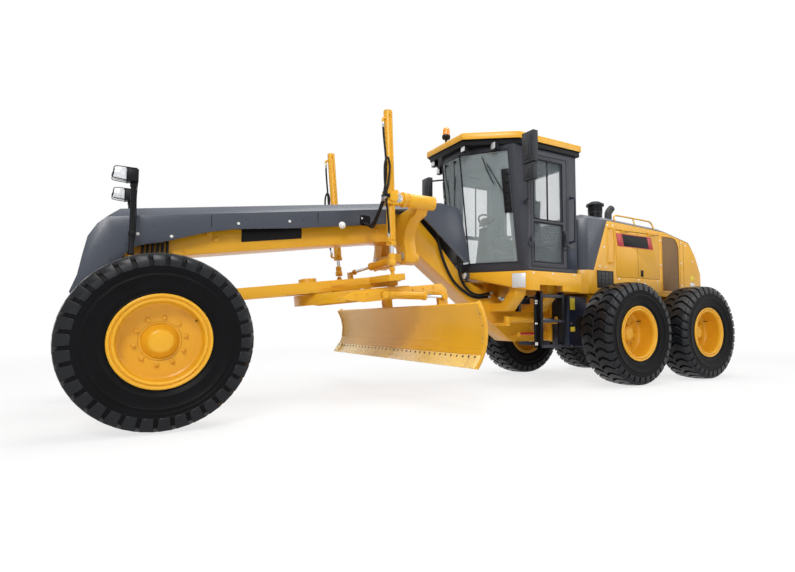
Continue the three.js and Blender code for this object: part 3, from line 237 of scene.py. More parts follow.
def surface(name, color, rough=0.4, metal=0.0, coat=0.0, vary=0.08, grain=900, relief=0.06,
            dirt=0.0, spread=0.08, stretch=(1, 1, 1), spec=0.5):
    """A painted, cast, moulded or plated surface: cloudy tone, speckle, grime and fine relief."""
    mat, tree, bsdf = new_material(name)
    fill(bsdf, Metallic=metal, Coat_Weight=coat, Coat_Roughness=0.12, Specular_IOR_Level=spec)
    dark = tuple(c * (1 - vary) for c in color)
    light = tuple(min(1, c * (1 + vary * 0.6)) for c in color)
    tone = ramp(tree, noise(tree, 2.2, 4, stretch), [(0.3, dark), (0.5, color), (0.72, light)])
    fine = ramp(tree, noise(tree, 160, 2, stretch), [(0.3, (0.95,) * 3), (0.6, (1, 1, 1))])
    tone = multiply(tree, tone, fine)
    if dirt:
        grime = (1 - dirt, 1 - dirt * 1.1, 1 - dirt * 1.25)
        tone = multiply(tree, tone, ramp(tree, noise(tree, 7, 6), [(0.42, (1, 1, 1)), (0.75, grime)]))
    tree.links.new(tone, bsdf.inputs["Base Color"])
    tree.links.new(levels(tree, noise(tree, 14, 5, stretch), max(0.02, rough - spread), rough + spread),
            bsdf.inputs["Roughness"])
    bump(tree, bsdf, noise(tree, grain, 2, stretch), relief)
    return mat


# An alpha-blended pane: its base colour is partly the glass's teal tint and partly a painted reflection.
def glass_pane(name, tint_and_reflection, alpha):
    mat, tree, bsdf = new_material(name)
    fill(bsdf, Base_Color=(*tint_and_reflection, 1), Roughness=0.03, IOR=1.5, Alpha=alpha)
    film = ramp(tree, noise(tree, 3, 3), [(0.3, tuple(c * 0.9 for c in tint_and_reflection)), (0.7, tint_and_reflection)])
    tree.links.new(film, bsdf.inputs["Base Color"])
    return mat


def mesh_screen(name, color, hole):
    """Perforated sheet: dark round holes in staggered rows, in the XZ plane."""
    mat = surface(name, color, 0.5, 0.2)
    tree = mat.node_tree
    bsdf = tree.nodes["Principled BSDF"]
    cells = new_node(tree, "TexVoronoi", Scale=1, Randomness=0)
    object_coords(tree, cells, Scale=(62, 0.001, 62), Rotation=(0, math.radians(45), 0))
    tone = ramp(tree, cells.outputs["Distance"], [(0.26, hole), (0.34, color)])
    tree.links.new(tone, bsdf.inputs["Base Color"])
    bump(tree, bsdf, cells.outputs["Distance"], 0.4, 0.002)
    return mat


YELLOW = surface("yellow_paint", (0.76, 0.385, 0.019), 0.32, 0, 0.08, 0.05, 700, 0.03, spec=0.32)
# Yellow paint made paler for the cutting edge and blade end bits: a painted highlight standing in for glare.
GLARE_LIT_YELLOW = surface("edge_yellow_painted_glare", (0.90, 0.62, 0.20), 0.28, 0, 0.3, 0.06, 500, 0.05, spec=0.5)
GREY = surface("grey_paint", (0.054, 0.063, 0.084), 0.3, 0, 0.1, 0.08, 700, 0.03, spec=0.35)
FRAME_GREY = surface("cab_frame_paint", (0.040, 0.043, 0.054), 0.38, 0, 0, 0.08, 700, 0.04, spec=0.25)
NAVY = surface("navy_paint", (0.010, 0.016, 0.034), 0.36, 0, 0, 0.15, 700, 0.05, 0.1, spec=0.25)
BLACK = surface("black_paint", (0.007, 0.007, 0.0085), 0.42, 0, 0, 0.2, 700, 0.05, spec=0.15)
PLASTIC = surface("moulded_plastic", (0.030, 0.032, 0.037), 0.5, 0, 0, 0.15, 1400, 0.16, spec=0.25)
RUBBER = surface("tyre_rubber", (0.0042, 0.0044, 0.0052), 0.42, 0, 0, 0.25, 260, 0.2, 0.1, 0.1, spec=0.08)
TREAD = surface("tread_rubber", (0.0085, 0.0092, 0.0115), 0.33, 0, 0, 0.25, 200, 0.25, 0.1, 0.1, spec=0.24)
HOSE = surface("hose_rubber", (0.008, 0.008, 0.009), 0.45, 0, 0, 0.2, 500, 0.3, spec=0.2)
CHROME = surface("rod_chrome", (0.70, 0.71, 0.73), 0.14, 1, 0, 0.05, 900, 0.02, 0.05, 0.04, (1, 1, 0.2))
STEEL = surface("plated_steel", (0.50, 0.51, 0.52), 0.34, 1, 0, 0.15, 600, 0.1, 0.15)
IRON = surface("dark_cast_iron", (0.06, 0.061, 0.064), 0.6, 0.5, 0, 0.25, 240, 0.35, 0.2, spec=0.25)
TRIM = surface("cab_trim", (0.035, 0.037, 0.042), 0.7, 0, 0, 0.15, 1100, 0.3, spec=0.2)
FABRIC = surface("seat_fabric", (0.022, 0.023, 0.027), 0.88, 0, 0, 0.3, 620, 0.6, spec=0.12)
PLATE = surface("blank_plate", (0.62, 0.64, 0.66), 0.35, 0.3, 0.1, 0.1)
STICKER = surface("blank_sticker", (0.80, 0.62, 0.05), 0.45, 0, 0.1, 0.08, spec=0.3)
RED = surface("red_paint", (0.46, 0.012, 0.012), 0.32, 0, 0.2, 0.1, spec=0.35)
WHITE = surface("white_cap", (0.80, 0.80, 0.78), 0.35, 0, 0.2, 0.06)
AMBER = surface("amber_lens", (0.80, 0.27, 0.008), 0.14, 0, 0.6, 0.1, 300, 0.2, spec=0.4)
LENS = surface("lamp_lens", (0.72, 0.74, 0.76), 0.1, 0.3, 0.6, 0.06, 120, 0.5)
# Both panes' base colours are partly teal tint and partly painted reflection; the windshield's is the paler.
GLASS = glass_pane("cab_glass", (0.66, 0.78, 0.81), 0.2)
DOOR_GLASS = glass_pane("door_glass", (0.30, 0.36, 0.38), 0.17)
GRILLE = mesh_screen("perforated_grille", (0.21, 0.10, 0.018), (0.035, 0.018, 0.005))
VENT = mesh_screen("vent_screen", (0.018, 0.018, 0.02), (0.003, 0.003, 0.003))


# ---------------------------------------------------------------- pieces
def finish_piece(ob, body, bevel=0.0, angle=35, segments=2):
    """Rounds an object's edges, bakes that into its mesh, and lets it ride on a body."""
    if bevel:
        mod = ob.modifiers.new("edges", "BEVEL")
        mod.width, mod.segments = bevel / 1000, segments
        mod.limit_method, mod.angle_limit = "ANGLE", math.radians(angle)
        mod.use_clamp_overlap = True
        graph = bpy.context.evaluated_depsgraph_get()
        fresh = bpy.data.meshes.new_from_object(ob.evaluated_get(graph))
        ob.modifiers.clear()
        ob.data = fresh
    ob.data.shade_smooth()
    ob.data.set_sharp_from_angle(angle=math.radians(angle + 3))
    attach(ob, body)
    return ob


class Kit:
    """Collects shapes, in millimetres, that become one piece."""

    def __init__(self, at=W):
        self.at, self.points, self.faces, self.paint_of, self.paint = at, [], [], [], 0

    def add(self, points, faces):
        base = len(self.points)
        self.points += [self.at(*p) for p in points]
        self.faces += [[base + i for i in face] for face in faces]
        self.paint_of += [self.paint] * len(faces)
        return self

    def box(self, x, y, z):
        points = [(x[i], y[j], z[k]) for i in (0, 1) for j in (0, 1) for k in (0, 1)]
        return self.add(points, BOX_FACES)

    def prism(self, outline, axis, a, b):
        """Outline in the two axes other than axis, between a and b along it."""
        def place(p, h):
            return (h, *p) if axis == 0 else (p[0], h, p[1]) if axis == 1 else (*p, h)
        n = len(outline)
        points = [place(p, a) for p in outline] + [place(p, b) for p in outline]
        sides = [(i, (i + 1) % n, n + (i + 1) % n, n + i) for i in range(n)]
        return self.add(points, sides + [tuple(range(n))[::-1], tuple(range(n, 2 * n))])

    def spin(self, profile, start, end, n=32, closed=False, turn=0.0):
        """Profile of (distance along the axis, radius) turned about the axis start to end."""
        a, b = Vector(start), Vector(end)
        axis = (b - a).normalized()
        side = axis.orthogonal().normalized()
        other = axis.cross(side)
        points = []
        for distance, radius in profile:
            for i in range(n):
                t = 2 * math.pi * i / n + turn
                spoke = side * math.cos(t) + other * math.sin(t)
                points.append(a + axis * distance + spoke * max(radius, 0.01))
        rings = len(profile)
        faces = []
        for r in range(rings if closed else rings - 1):
            s = (r + 1) % rings
            faces += [(r * n + i, r * n + (i + 1) % n, s * n + (i + 1) % n, s * n + i) for i in range(n)]
        if not closed:
            faces += [tuple(range(n))[::-1], tuple(range((rings - 1) * n, rings * n))]
        return self.add(points, faces)

    def rod(self, start, end, r, n=20):
        return self.spin([(0, r), ((Vector(end) - Vector(start)).length, r)], start, end, n)

    def dome(self, centre, r, n=20, normal=(0, 0, 1), depth=1.0):
        c, d = Vector(centre), Vector(normal)
        steps = [(math.sin(t) * r * depth, math.cos(t) * r) for t in [math.pi / 2 * k / 7 for k in range(8)]]
        return self.spin(steps, c, c + d, n)

    def tube(self, path, r, n=10, smooth=6):
        """A round bar or hose along a smooth line through the path's points."""
        pts = [Vector(p) for p in path]
        line = []
        for i in range(len(pts) - 1):
            p0, p1, p2, p3 = pts[max(i - 1, 0)], pts[i], pts[i + 1], pts[min(i + 2, len(pts) - 1)]
            for k in range(smooth):
                t = k / smooth
                line.append(0.5 * (2 * p1 + (p2 - p0) * t + (2 * p0 - 5 * p1 + 4 * p2 - p3) * t * t
                                   + (3 * p1 - p0 - 3 * p2 + p3) * t ** 3))
        line.append(pts[-1])
        side = (line[1] - line[0]).orthogonal().normalized()
        points = []
        for i, p in enumerate(line):
            d = (line[min(i + 1, len(line) - 1)] - line[max(i - 1, 0)]).normalized()
            side = (side - d * side.dot(d)).normalized()
            other = d.cross(side)
            points += [p + (side * math.cos(2 * math.pi * j / n) + other * math.sin(2 * math.pi * j / n)) * r
                       for j in range(n)]
        m = len(line)
        faces = [(a * n + j, a * n + (j + 1) % n, (a + 1) * n + (j + 1) % n, (a + 1) * n + j)
                for a in range(m - 1) for j in range(n)]
        return self.add(points, faces + [tuple(range(n))[::-1], tuple(range((m - 1) * n, m * n))])

    def bolt(self, place, normal, r=11, h=8, head=6):
        """A washer and a chamfered head standing on a surface."""
        p, d = Vector(place), Vector(normal).normalized()
        self.spin([(-2, r * 1.35), (2.2, r * 1.35), (2.6, r * 1.2)], p, p + d, 16)
        return self.spin([(2, r), (h - 1.5, r), (h, r * 0.86)], p, p + d, head, turn=rng.random())

    def bolts(self, places, normal, r=11, h=8, head=6):
        for place in places:
            self.bolt(place, normal, r, h, head)
        return self

    def done(self, name, paints, body, bevel=0.0, angle=35, segments=2):
        mesh = bpy.data.meshes.new(name)
        mesh.from_pydata([tuple(p) for p in self.points], [], self.faces)
        work = bmesh.new()
        work.from_mesh(mesh)
        bmesh.ops.recalc_face_normals(work, faces=work.faces)
        work.to_mesh(mesh)
        work.free()
        ob = bpy.data.objects.new(name, mesh)
        bpy.context.collection.objects.link(ob)
        for paint in paints if isinstance(paints, (list, tuple)) else [paints]:
            mesh.materials.append(paint)
        for face, index in zip(mesh.polygons, self.paint_of):
            face.material_index = index
        return finish_piece(ob, body, bevel, angle, segments)


def refine(node, paints, region=None, bevel=4.0, angle=40, drop=None):
    """A copy of a CAD node with rounded edges, painted by region, that stands for it.

    drop says which places of the node another piece shows instead."""
    source = NODES[node]
    mesh = source.data.copy()
    work = bmesh.new()
    work.from_mesh(mesh)
    bmesh.ops.remove_doubles(work, verts=work.verts, dist=2e-5)
    if drop:
        gone = [f for f in work.faces if drop(to_mm(f.calc_center_median()))]
        bmesh.ops.delete(work, geom=gone, context="FACES")
    bmesh.ops.dissolve_limit(work, angle_limit=math.radians(1), verts=work.verts, edges=work.edges)
    bmesh.ops.recalc_face_normals(work, faces=work.faces)
    work.to_mesh(mesh)
    work.free()
    if "custom_normal" in mesh.attributes:
        mesh.attributes.remove(mesh.attributes["custom_normal"])
    ob = bpy.data.objects.new(node + "_body", mesh)
    bpy.context.collection.objects.link(ob)
    mesh.materials.clear()
    for paint in paints:
        mesh.materials.append(paint)
    finish_piece(ob, BODY_OF[node], bevel, angle)
    for face in ob.data.polygons:
        face.material_index = region(to_mm(face.center)) if region else 0
    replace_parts(ob, node)
    return ob


def dress(node, paint):
    """Gives a CAD node that stays as it is its better material."""
    mesh = NODES[node].data
    mesh.materials.clear()
    mesh.materials.append(paint)


# ---------------------------------------------------------------- wheels
def tread_point(centre, theta, a, depth, s):
    """A place on the tread: a runs from the middle (0) over the shoulder (1) and down the wall."""
    cx, cy, cz = centre
    if a <= 1:
        y, r, out = a * 196, TYRE_R - 16 * a * a, 0.0
    else:
        k = (a - 1) / 0.34
        y, r, out = 196 + 25 * math.sin(k * 1.5), TYRE_R - 16 - 92 * k, 1.0
    r -= depth * (1 - 0.75 * out)
    y -= depth * out * 0.7
    return (cx + r * math.sin(theta), cy + s * y, cz + r * math.cos(theta))


def tyre(name, centre, phase, flip):
    kit = Kit()
    cx, cy, cz = centre
    inner = [(r, y) for r, y in ((320, 176), (350, 179), (358, 188), (364, 189), (369, 184), (376, 188),
            (398, 200), (404, 205), (410, 203), (450, 213), (486, 217), (489, 222), (494, 222), (497, 217),
            (520, 216), (524, 220), (552, 215), (556, 219), (562, 218), (566, 211), (604, 204), (632, 186),
            (641, 150), (644, 75))]
    ring = [(y, r) for r, y in inner] + [(0, 645)] + [(-y, r) for r, y in reversed(inner)]
    kit.spin(ring, (cx, cy, cz), (cx, cy + 1, cz), 96, closed=True)
    pitch = 2 * math.pi / LUGS
    stations = ((-0.04, 0.02, 0.32), (0.12, -0.13, 0.33), (0.3, -0.34, 0.35), (0.5, -0.44, 0.36),
            (0.72, -0.27, 0.37), (0.9, -0.06, 0.38), (1.0, 0.04, 0.39), (1.1, 0.07, 0.385),
            (1.22, 0.08, 0.37), (1.36, 0.08, 0.35))
    kit.paint = 1
    for s in (-1, 1):
        for i in range(LUGS):
            start = phase + pitch * (i + (0.5 if s > 0 else 0))
            points = []
            for a, c, w in stations:
                for depth, edge in ((0, 0.96), (34, 1.14)):
                    for e in (-1, 1):
                        theta = start + flip * pitch * (c + e * w * edge)
                        points.append(tread_point(centre, theta, a, depth, s))
            faces = []
            for k in range(len(stations) - 1):
                b, t = 4 * k, 4 * (k + 1)
                faces += [(b, b + 1, t + 1, t), (b, t, t + 2, b + 2), (b + 1, b + 3, t + 3, t + 1),
                        (b + 2, t + 2, t + 3, b + 3)]
            e = 4 * (len(stations) - 1)
            faces += [(0, 2, 3, 1), (e, e + 1, e + 3, e + 2)]
            kit.add(points, faces)
    ob = kit.done(name + "_treaded", [RUBBER, TREAD], "wheel_" + name.replace("_tyre", ""), 3.0, 30, 1)
    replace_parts(ob, name)


def rim(name, centre, s, disc, cap, nuts, nut_r):
    """disc is the wheel disc's place out from the rim's middle, and cap how far its hub stands out."""
    cx, cy, cz = centre
    end = (cx, cy + s, cz)
    kit = Kit()
    half = 198
    ring = [(half - 10, 299), (half - 5, 306), (half - 3, 314), (half - 7, 319), (half - 15, 321),
            (half - 15, 328), (half - 5, 331), (half, 337), (half + 1, 345), (half - 2, 352),
            (half - 10, 355), (half - 18, 352), (half - 22, 334), (half - 34, 322), (half - 60, 318),
            (0, 317), (-half + 40, 318), (-half + 20, 330), (-half + 14, 354), (-half, 354), (-half, 308),
            (-half + 40, 300), (disc - 24, 298), (disc - 24, 150), (disc + 2, 150), (disc + 4, 262),
            (disc + 10, 284), (disc + 26, 296), (disc + 60, 300), (half - 56, 300), (half - 40, 292),
            (half - 30, 296), (half - 16, 297)]
    kit.spin(ring, centre, end, 96, closed=True)
    hub = [(disc - 44, 148), (disc + 3, 148), (disc + 3, 135), (disc - 3, 133.5), (disc - 3, 130),
            (disc + 4, 128), (disc + 12, 122), (disc + cap - 22, 100), (disc + cap - 8, 86),
            (disc + cap - 3, 80), (disc + cap - 1, 60), (disc + cap - 1, 1)]
    kit.spin(hub, centre, end, 64)
    for i in range(nuts):
        t = 2 * math.pi * (i + 0.3) / nuts
        x, z = cx + nut_r * math.cos(t), cz + nut_r * math.sin(t)
        y = cy + s * (disc + 3)
        kit.spin([(-2, 22), (3, 22), (4, 19)], (x, y, z), (x, y + s, z), 20)
        kit.spin([(3, 15), (17, 15), (20, 12)], (x, y, z), (x, y + s, z), 6, turn=i)
        kit.spin([(16, 8), (29, 8), (31, 6)], (x, y, z), (x, y + s, z), 12)
    if disc < 0:
        kit.bolts([(cx + x, cy + s * (disc + cap - 2), cz + z) for x, z in around(8, 66, math.pi / 8)],
                (0, s, 0), 7, 8)
    kit.paint = 1
    valve = [(cx + 240, cy + s * (disc + 12), cz + 150), (cx + 246, cy + s * (disc + 40), cz + 156),
            (cx + 250, cy + s * (disc + 78), cz + 160)]
    kit.tube(valve, 5, 8)
    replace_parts(kit.done(name + "_wheel", [YELLOW, BLACK], "wheel_" + name.replace("_rim", ""), 1.5, 40),
            name)


def wheels():
    for row, x, disc, cap, nuts, nut_r in (("front", 0, 50, 75, 10, 178), ("mid", MID_X, -60, 95, 12, 200),
                                           ("rear", REAR_X, -60, 95, 12, 200)):
        for word, s in SIDES:
            centre = (x, s * HALF_TRACK, TYRE_R)
            tyre(f"{row}_{word}_tyre", centre, 0.07 * s + x * 0.001, 1 if row == "front" else -1)
            rim(f"{row}_{word}_rim", centre, s, disc, cap, nuts, nut_r)


# ---------------------------------------------------------------- front end
def beam_low(x):
    return 1475 + (x - 420) * 0.1455


def crest(x):
    return 1830 + (x + 290) * 432 / 3120


def front_frame():
    def lamp_black(p):
        ahead = p[0] < -150
        return 1 if ahead and (abs(p[1]) > 355 and p[2] > 1360 or 340 < abs(p[1]) < 480) else 0
    refine("front_frame", [YELLOW, BLACK], lamp_black, 5)
    refine("front_cover", [GREY], None, 9, 20)
    for node in ("saddle", "front_axle", "lean_carrier_left", "lean_carrier_right", "knuckle_left",
                 "knuckle_right", "lean_bar"):
        refine(node, [YELLOW], None, 4)
    refine("tie_rod", [IRON], None, 3)
    dress("drawbar_ball", IRON)
    kit = Kit()
    for x in (-200, 456, 1500, 2300):
        for s in (-1, 1):
            top = crest(x) - 93
            foot = beam_low(x) + 235 if x > 300 else 1480
            kit.prism([(x - 3, foot), (x + 3, foot), (x + 3, top), (x - 3, top)], 1, s * 300.2, s * 301.4)
    kit.paint = 1
    for s in (-1, 1):
        for x in (-150, 120, 700, 1200, 2000):
            kit.bolt((x, s * 300, beam_low(max(x, 300)) + 262 if x > 300 else 1600), (0, s, 0), 10, 7, 14)
        kit.dome((1770, s * 300, 1868), 30, 20, (0, s, 0), 0.9)
        kit.spin([(0, 38), (5, 38), (7, 33)], (1770, s * 298, 1868), (1770, s * 299, 1868), 24)
    kit.done("cover_fittings", [BLACK, WHITE], "front")
    kit = Kit()
    for s in (-1, 1):
        z0, z1 = beam_low(755) + 92, beam_low(1366) + 92
        kit.prism([(755, z0), (1366, z1), (1366, z1 + 165), (755, z0 + 165)], 1, s * 170.3, s * 173)
    kit.done("blank_name_plate", BLACK, "front", 1.2)
    kit = Kit()
    for s in (-1, 1):
        for x in (520, 2250):
            kit.spin([(0, 30), (12, 30), (14, 27)], (x, s * 168, beam_low(x) + 130),
                    (x, s * 169, beam_low(x) + 130), 24)
        kit.bolts([(x, s * 170, beam_low(x) + 40) for x in (-160, -60, 40, 140, 240)], (0, s, 0), 13, 11)
        kit.bolts([(x, s * 150, z) for x in (-150, -75, 0, 75, 150) for z in (930, 1240)], (0, s, 0), 12, 10)
        for x in (2500, 2600):
            kit.bolts([(x, s * 350, z) for z in (1840, 1900)], (0, s, 0), 11, 9)
        lug = (455, s * 172, beam_low(455) + 190)
        kit.spin([(0, 26), (26, 26)], lug, (lug[0], lug[1] + s, lug[2]), 20)
    for z in (820, 700, 640):
        kit.bolts([(-190, y, z) for y in (-70, 70)], (-1, 0, 0), 11, 9)
    kit.done("frame_bolts", YELLOW, "front", 1)
    kit = Kit()
    for s in (-1, 1):
        kit.spin([(0, 50), (9, 50), (12, 46)], (2480, s * 352, 1560), (2479, s * 352, 1560), 36)
        kit.bolts([(2468, s * 352 + y, 1560 + z) for y, z in around(6, 32)], (-1, 0, 0), 6, 6)
    kit.done("saddle_pin_caps", STEEL, "front", 1)
    front_lamps()
    front_hoses()


def front_lamps():
    kit = Kit()
    for s in (-1, 1):
        y = s * 420
        kit.box((-256, -245), (y - 55, y + 55), (2026, 2144))
        kit.box((-262, -176), (y - 58, y + 58), (2140, 2148))
        kit.spin([(0, 27), (36, 27), (40, 23)], (-200, y, 1560), (-200, y, 1561), 20)
        kit.spin([(0, 27), (36, 27), (40, 23)], (-200, y, 1990), (-200, y, 1991), 20)
        kit.tube([(-178, y, 1500), (-172, y, 1700), (-176, y, 1900), (-170, y, 2040)], 5, 8)
        kit.bolts([(-225, y + s * 24, z) for z in (1400, 1420)], (-1, 0, 0), 7, 5)
        guard = [(-256, y - 52, 2034), (-330, y - 52, 2040), (-362, y - 52, 2052), (-352, y - 52, 2100),
                (-340, y - 52, 2142), (-256, y - 52, 2146)]
        kit.tube(guard, 4, 8, 5)
        kit.tube([(x, 2 * y - v, z) for x, v, z in guard], 4, 8, 5)
        kit.paint = 2
        kit.prism([(-254, 2038), (-254, 2140), (-334, 2134), (-352, 2050), (-320, 2044)], 1, y - 46, y + 46)
        kit.paint = 0
    kit.done("front_lamps", [BLACK, STEEL, LENS], "front", 1.5)


def rounded(corner, steps):
    """A square of half width 1 with round corners, as a list of places."""
    places = []
    for quarter in range(4):
        middle = math.pi / 2 * quarter + math.pi / 4
        cx, cy = math.copysign(1 - corner, math.cos(middle)), math.copysign(1 - corner, math.sin(middle))
        for k in range(steps):
            t = math.pi / 2 * (quarter + k / (steps - 1))
            places.append((cx + corner * math.cos(t), cy + corner * math.sin(t)))
    return places


def front_hoses():
    """Clamped hydraulic lines on the front frame, each ending in a crimped fitting."""
    kit = Kit()
    runs = []
    for s in (-1, 1):
        for k in range(6):
            x = -105 + 40 * k
            runs.append((12, [(x, s * 184, 1610), (x + 2, s * 190, 1500), (x - 4, s * 196, 1330),
                    (x * 0.8, s * 186, 1100), (x * 0.8, s * 163, 985)]))
        for k in range(3):
            runs.append((11, [(2015 + 26 * k, s * 285, 1925), (2020 + 20 * k, s * 390, 1880 - 8 * k),
                    (2022 + 12 * k, s * 520, 1868 - 10 * k), (2012 + 6 * k, s * (690 + 8 * k), 1960),
                    (LIFT_CLAMP[0], s * (LIFT_CLAMP[1] + 26 * k - 26), LIFT_CLAMP[2] - 12)]))
        runs.append((18, [(3060, s * 200, 1880), (3076, s * 200, 1770), (3140, s * 202, 1569),
                (3280, s * 205, 1330), (3490, s * 206, 1176), (3650, s * 205, 1130),
                (3858, s * 208, 1150)]))
        runs.append((18, [(3322, s * 238, 1640), (3334, s * 240, 1560), (3366, s * 242, 1370),
                (3480, s * 244, 1215), (3640, s * 244, 1160), (3858, s * 246, 1200)]))
    for r, run in runs:
        kit.tube(run, r, 12, 7)
    kit.paint = 1
    for r, run in runs:
        kit.spin([(-4, r), (0, r + 4), (14, r + 5), (30, r + 5), (34, r + 2), (52, r + 1.5)], run[-1],
                run[-2], 14)
    kit.paint = 2
    for s in (-1, 1):
        grommet = [(2040 + 62 * c, 1946 + 58 * d) for c, d in rounded(0.42, 5)]
        hole = [(2040 + 53 * c, 1946 + 49 * d) for c, d in rounded(0.42, 5)]
        kit.prism(grommet, 1, s * 299.5, s * 302.5)
        kit.prism(hole, 1, s * 302, s * 303.2)
    kit.done("frame_hoses", [HOSE, STEEL, BLACK], "front")


# ---------------------------------------------------------------- cylinders
def toward(a, b, distance):
    a, b = Vector(a), Vector(b)
    return a + (b - a).normalized() * distance


def cylinder(name, node, a, b, start, end, r, extra=None, at=W):
    """Barrel along a to b: head cap, body, gland nut, ports and the pipe between them."""
    kit = Kit(at)
    p0 = toward(a, b, start)
    length = end - start
    kit.spin([(0, r * 0.86), (4, r), (length - 42, r), (length - 40, r + 6), (length - 6, r + 6),
            (length, r + 1), (length, r * 0.5)], p0, b, 40)
    kit.spin([(-8, r * 0.6), (-6, r * 0.9), (1, r * 0.95)], p0, b, 32)
    axis = (Vector(b) - Vector(a)).normalized()
    side = axis.cross(Vector((1, 0, 0)))
    side = (side if side.length > 0.3 else axis.cross(Vector((0, 0, 1)))).normalized()
    top, foot = p0 + axis * 40, p0 + axis * (length - 70)
    for p in (top, foot):
        kit.spin([(0, 15), (r + 14, 15), (r + 18, 12)], p, p + side, 14)
    out = side * (r + 26)
    kit.tube([top + side * (r + 10), top + out, top + out + axis * 40, (top + foot) / 2 + out,
            foot + out - axis * 40, foot + out, foot + side * (r + 10)], 7, 10, 5)
    if extra:
        extra(kit)
    ob = kit.done(name, [YELLOW, STEEL], BODY_OF[node], 2, 45)
    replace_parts(ob, node)


def shaft(name, node, a, b, start, end, r, extra=None, at=W):
    kit = Kit(at)
    kit.rod(toward(a, b, start), toward(a, b, end), r, 36)
    kit.paint = 1
    if extra:
        extra(kit)
    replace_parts(kit.done(name, [CHROME, YELLOW], BODY_OF[node], 1, 45), node)


def cylinders():
    for word, s in SIDES:
        top = (2105, s * 790, 2110)
        foot = to_mm(D(1847, s * 752, 112))
        reach = (Vector(foot) - Vector(top)).length

        def yoke(kit, s=s, top=top):
            x, y, z = top
            kit.box((x - 62, x + 62), (y - 68, y + 68), (z - 75, z + 75))
            kit.box((x + 40, x + 118), (y - 62, y + 62), (z - 62, z + 54))
            kit.rod(top, (2309.5, y, z), 66, 36)
            kit.spin([(0, 50), (6, 54), (176, 54), (182, 50)], (x, y - 91, z), (x, y, z), 36)
            kit.spin([(0, 78), (6, 82), (30, 82), (34, 78)], (2240, y, z), (2300, y, z), 36)
            kit.paint = 1
            for e in (-1, 1):
                kit.spin([(0, 47), (7, 47), (9, 44)], (x + 66, y + e * 61, z - 6),
                        (x + 66, y + e * 62, z - 6), 36)
                kit.bolts([(x + 66 + c, y + e * 69, z - 6 + d) for c, d in around(6, 30, 0.3)], (0, e, 0),
                        6, 6)
            kit.paint = 0
        cylinder("lift_cylinder_" + word, "lift_barrel_" + word, top, foot, -905, 500, 47, yoke)

        def sleeve(kit, top=top, foot=foot, reach=reach):
            kit.spin([(0, 24), (8, 36), (126, 36), (128, 30)], toward(top, foot, reach - 165), foot, 32)
            kit.spin([(0, 38), (8, 44), (56, 44), (60, 36)], toward(top, foot, reach - 98), foot, 32)
        shaft("lift_rod_chrome_" + word, "lift_rod_" + word, top, foot, -310, reach - 160, 21, sleeve)
        a, b = (3950, s * 430, 850), (4850, s * 400, 850)

        def front_eye(kit, x=a[0], y=a[1]):
            kit.spin([(0, 40), (3, 44), (81, 44), (84, 40)], (x, y, 805.5), (x, y, 806), 32)

        def rear_eye(kit, x=b[0], y=b[1]):
            kit.spin([(0, 31), (3, 34), (57, 34), (60, 31)], (x, y, 830.2), (x, y, 831), 28)
        cylinder("steering_cylinder_" + word, "articulation_barrel_" + word, a, b, 20, 604, 37,
                front_eye)
        shaft("steering_rod_" + word, "articulation_rod_" + word, a, b, 290, 880, 20,
                rear_eye)
        lift_hoses(word, s)
    a = (2425, -290, 1545)
    b = to_mm(D(1926, 420, 170))
    reach = (Vector(b) - Vector(a)).length
    cylinder("side_shift_cylinder", "shift_barrel", a, b, 10, 442, 42,
            lambda kit: kit.dome(a, 42, 28, toward((0, 0, 0), Vector(a) - Vector(b), 1)))
    shaft("side_shift_rod", "shift_rod", a, b, 330, reach - 10, 20,
          lambda kit: [kit.dome(b, 34, 28, n) for n in ((0, 0, 1), (0, 0, -1))])
    a, b = (1744, -745, -148), (2460, -745, -230)
    reach = (Vector(b) - Vector(a)).length

    def near_eye(kit):
        kit.spin([(0, 37), (3, 40), (54, 40), (57, 37)], (a[0], -717.5, a[2]), (a[0], -718, a[2]), 32)
        kit.rod(toward(a, b, 20), toward(a, b, 56), 27, 24)

    def far_eye(kit):
        kit.spin([(0, 33), (3, 36), (46, 36), (49.5, 33)], (b[0], -725.5, b[2]), (b[0], -726, b[2]), 28)
    cylinder("blade_tip_cylinder", "tip_barrel", a, b, 46, 482, 42, near_eye, D)
    shaft("blade_tip_rod", "tip_rod", a, b, 240, reach - 20, 20, far_eye, D)


def lift_hoses(word, s):
    """Hydraulic hoses clamped on a lift cylinder: a spare loop, one up to the top port, one down."""
    cx, cy, cz = LIFT_CLAMP
    kit = Kit()
    runs = [[(cx + x, s * (cy + y), cz + z) for x, y, z in run] for run in (
        ((0, 26, 0), (-16, 30, 190), (-14, 32, 330), (16, 34, 392), (40, 32, 320), (34, 28, 180), (8, 8, 6)),
        ((0, -26, 0), (16, -6, 200), (6, 8, 400), (-18, 4, 640), (-24, 2, 768)),
        ((4, 14, 0), (26, 16, -150), (50, 2, -330), (62, -24, -420)))]
    for run in runs:
        kit.tube(run, 11, 12, 8)
    kit.paint = 1
    for run in runs[1:]:
        kit.spin([(-6, 9), (0, 14), (14, 15), (30, 15), (34, 13), (56, 12)], run[-1], run[-2], 14)
    kit.paint = 2
    kit.box((cx - 16, cx + 44), span(s, cy - 44, cy + 42), (cz - 16, cz + 16))
    kit.done("lift_hoses_" + word, [HOSE, STEEL, BLACK], "lift_barrel_" + word, 1)
    kit = Kit()
    end = Vector(runs[1][-1])
    kit.tube([end - Vector((0, 0, 6)), end + Vector((0, 0, 34)), end + Vector((30, 0, 46)),
            end + Vector((52, 0, 44))], 14, 12, 5)
    end = Vector(runs[2][-1])
    kit.tube([end + Vector((0, 0, 6)), end - Vector((0, 0, 30)), end + Vector((26, s * -10, -44))], 14, 12,
            5)
    kit.done("lift_ports_" + word, YELLOW, "lift_barrel_" + word, 1)


# ---------------------------------------------------------------- drawbar, circle and blade
def blade_arc(r, deg):
    t = math.radians(deg)
    return 1746 + r * math.cos(t), -538 + r * math.sin(t)


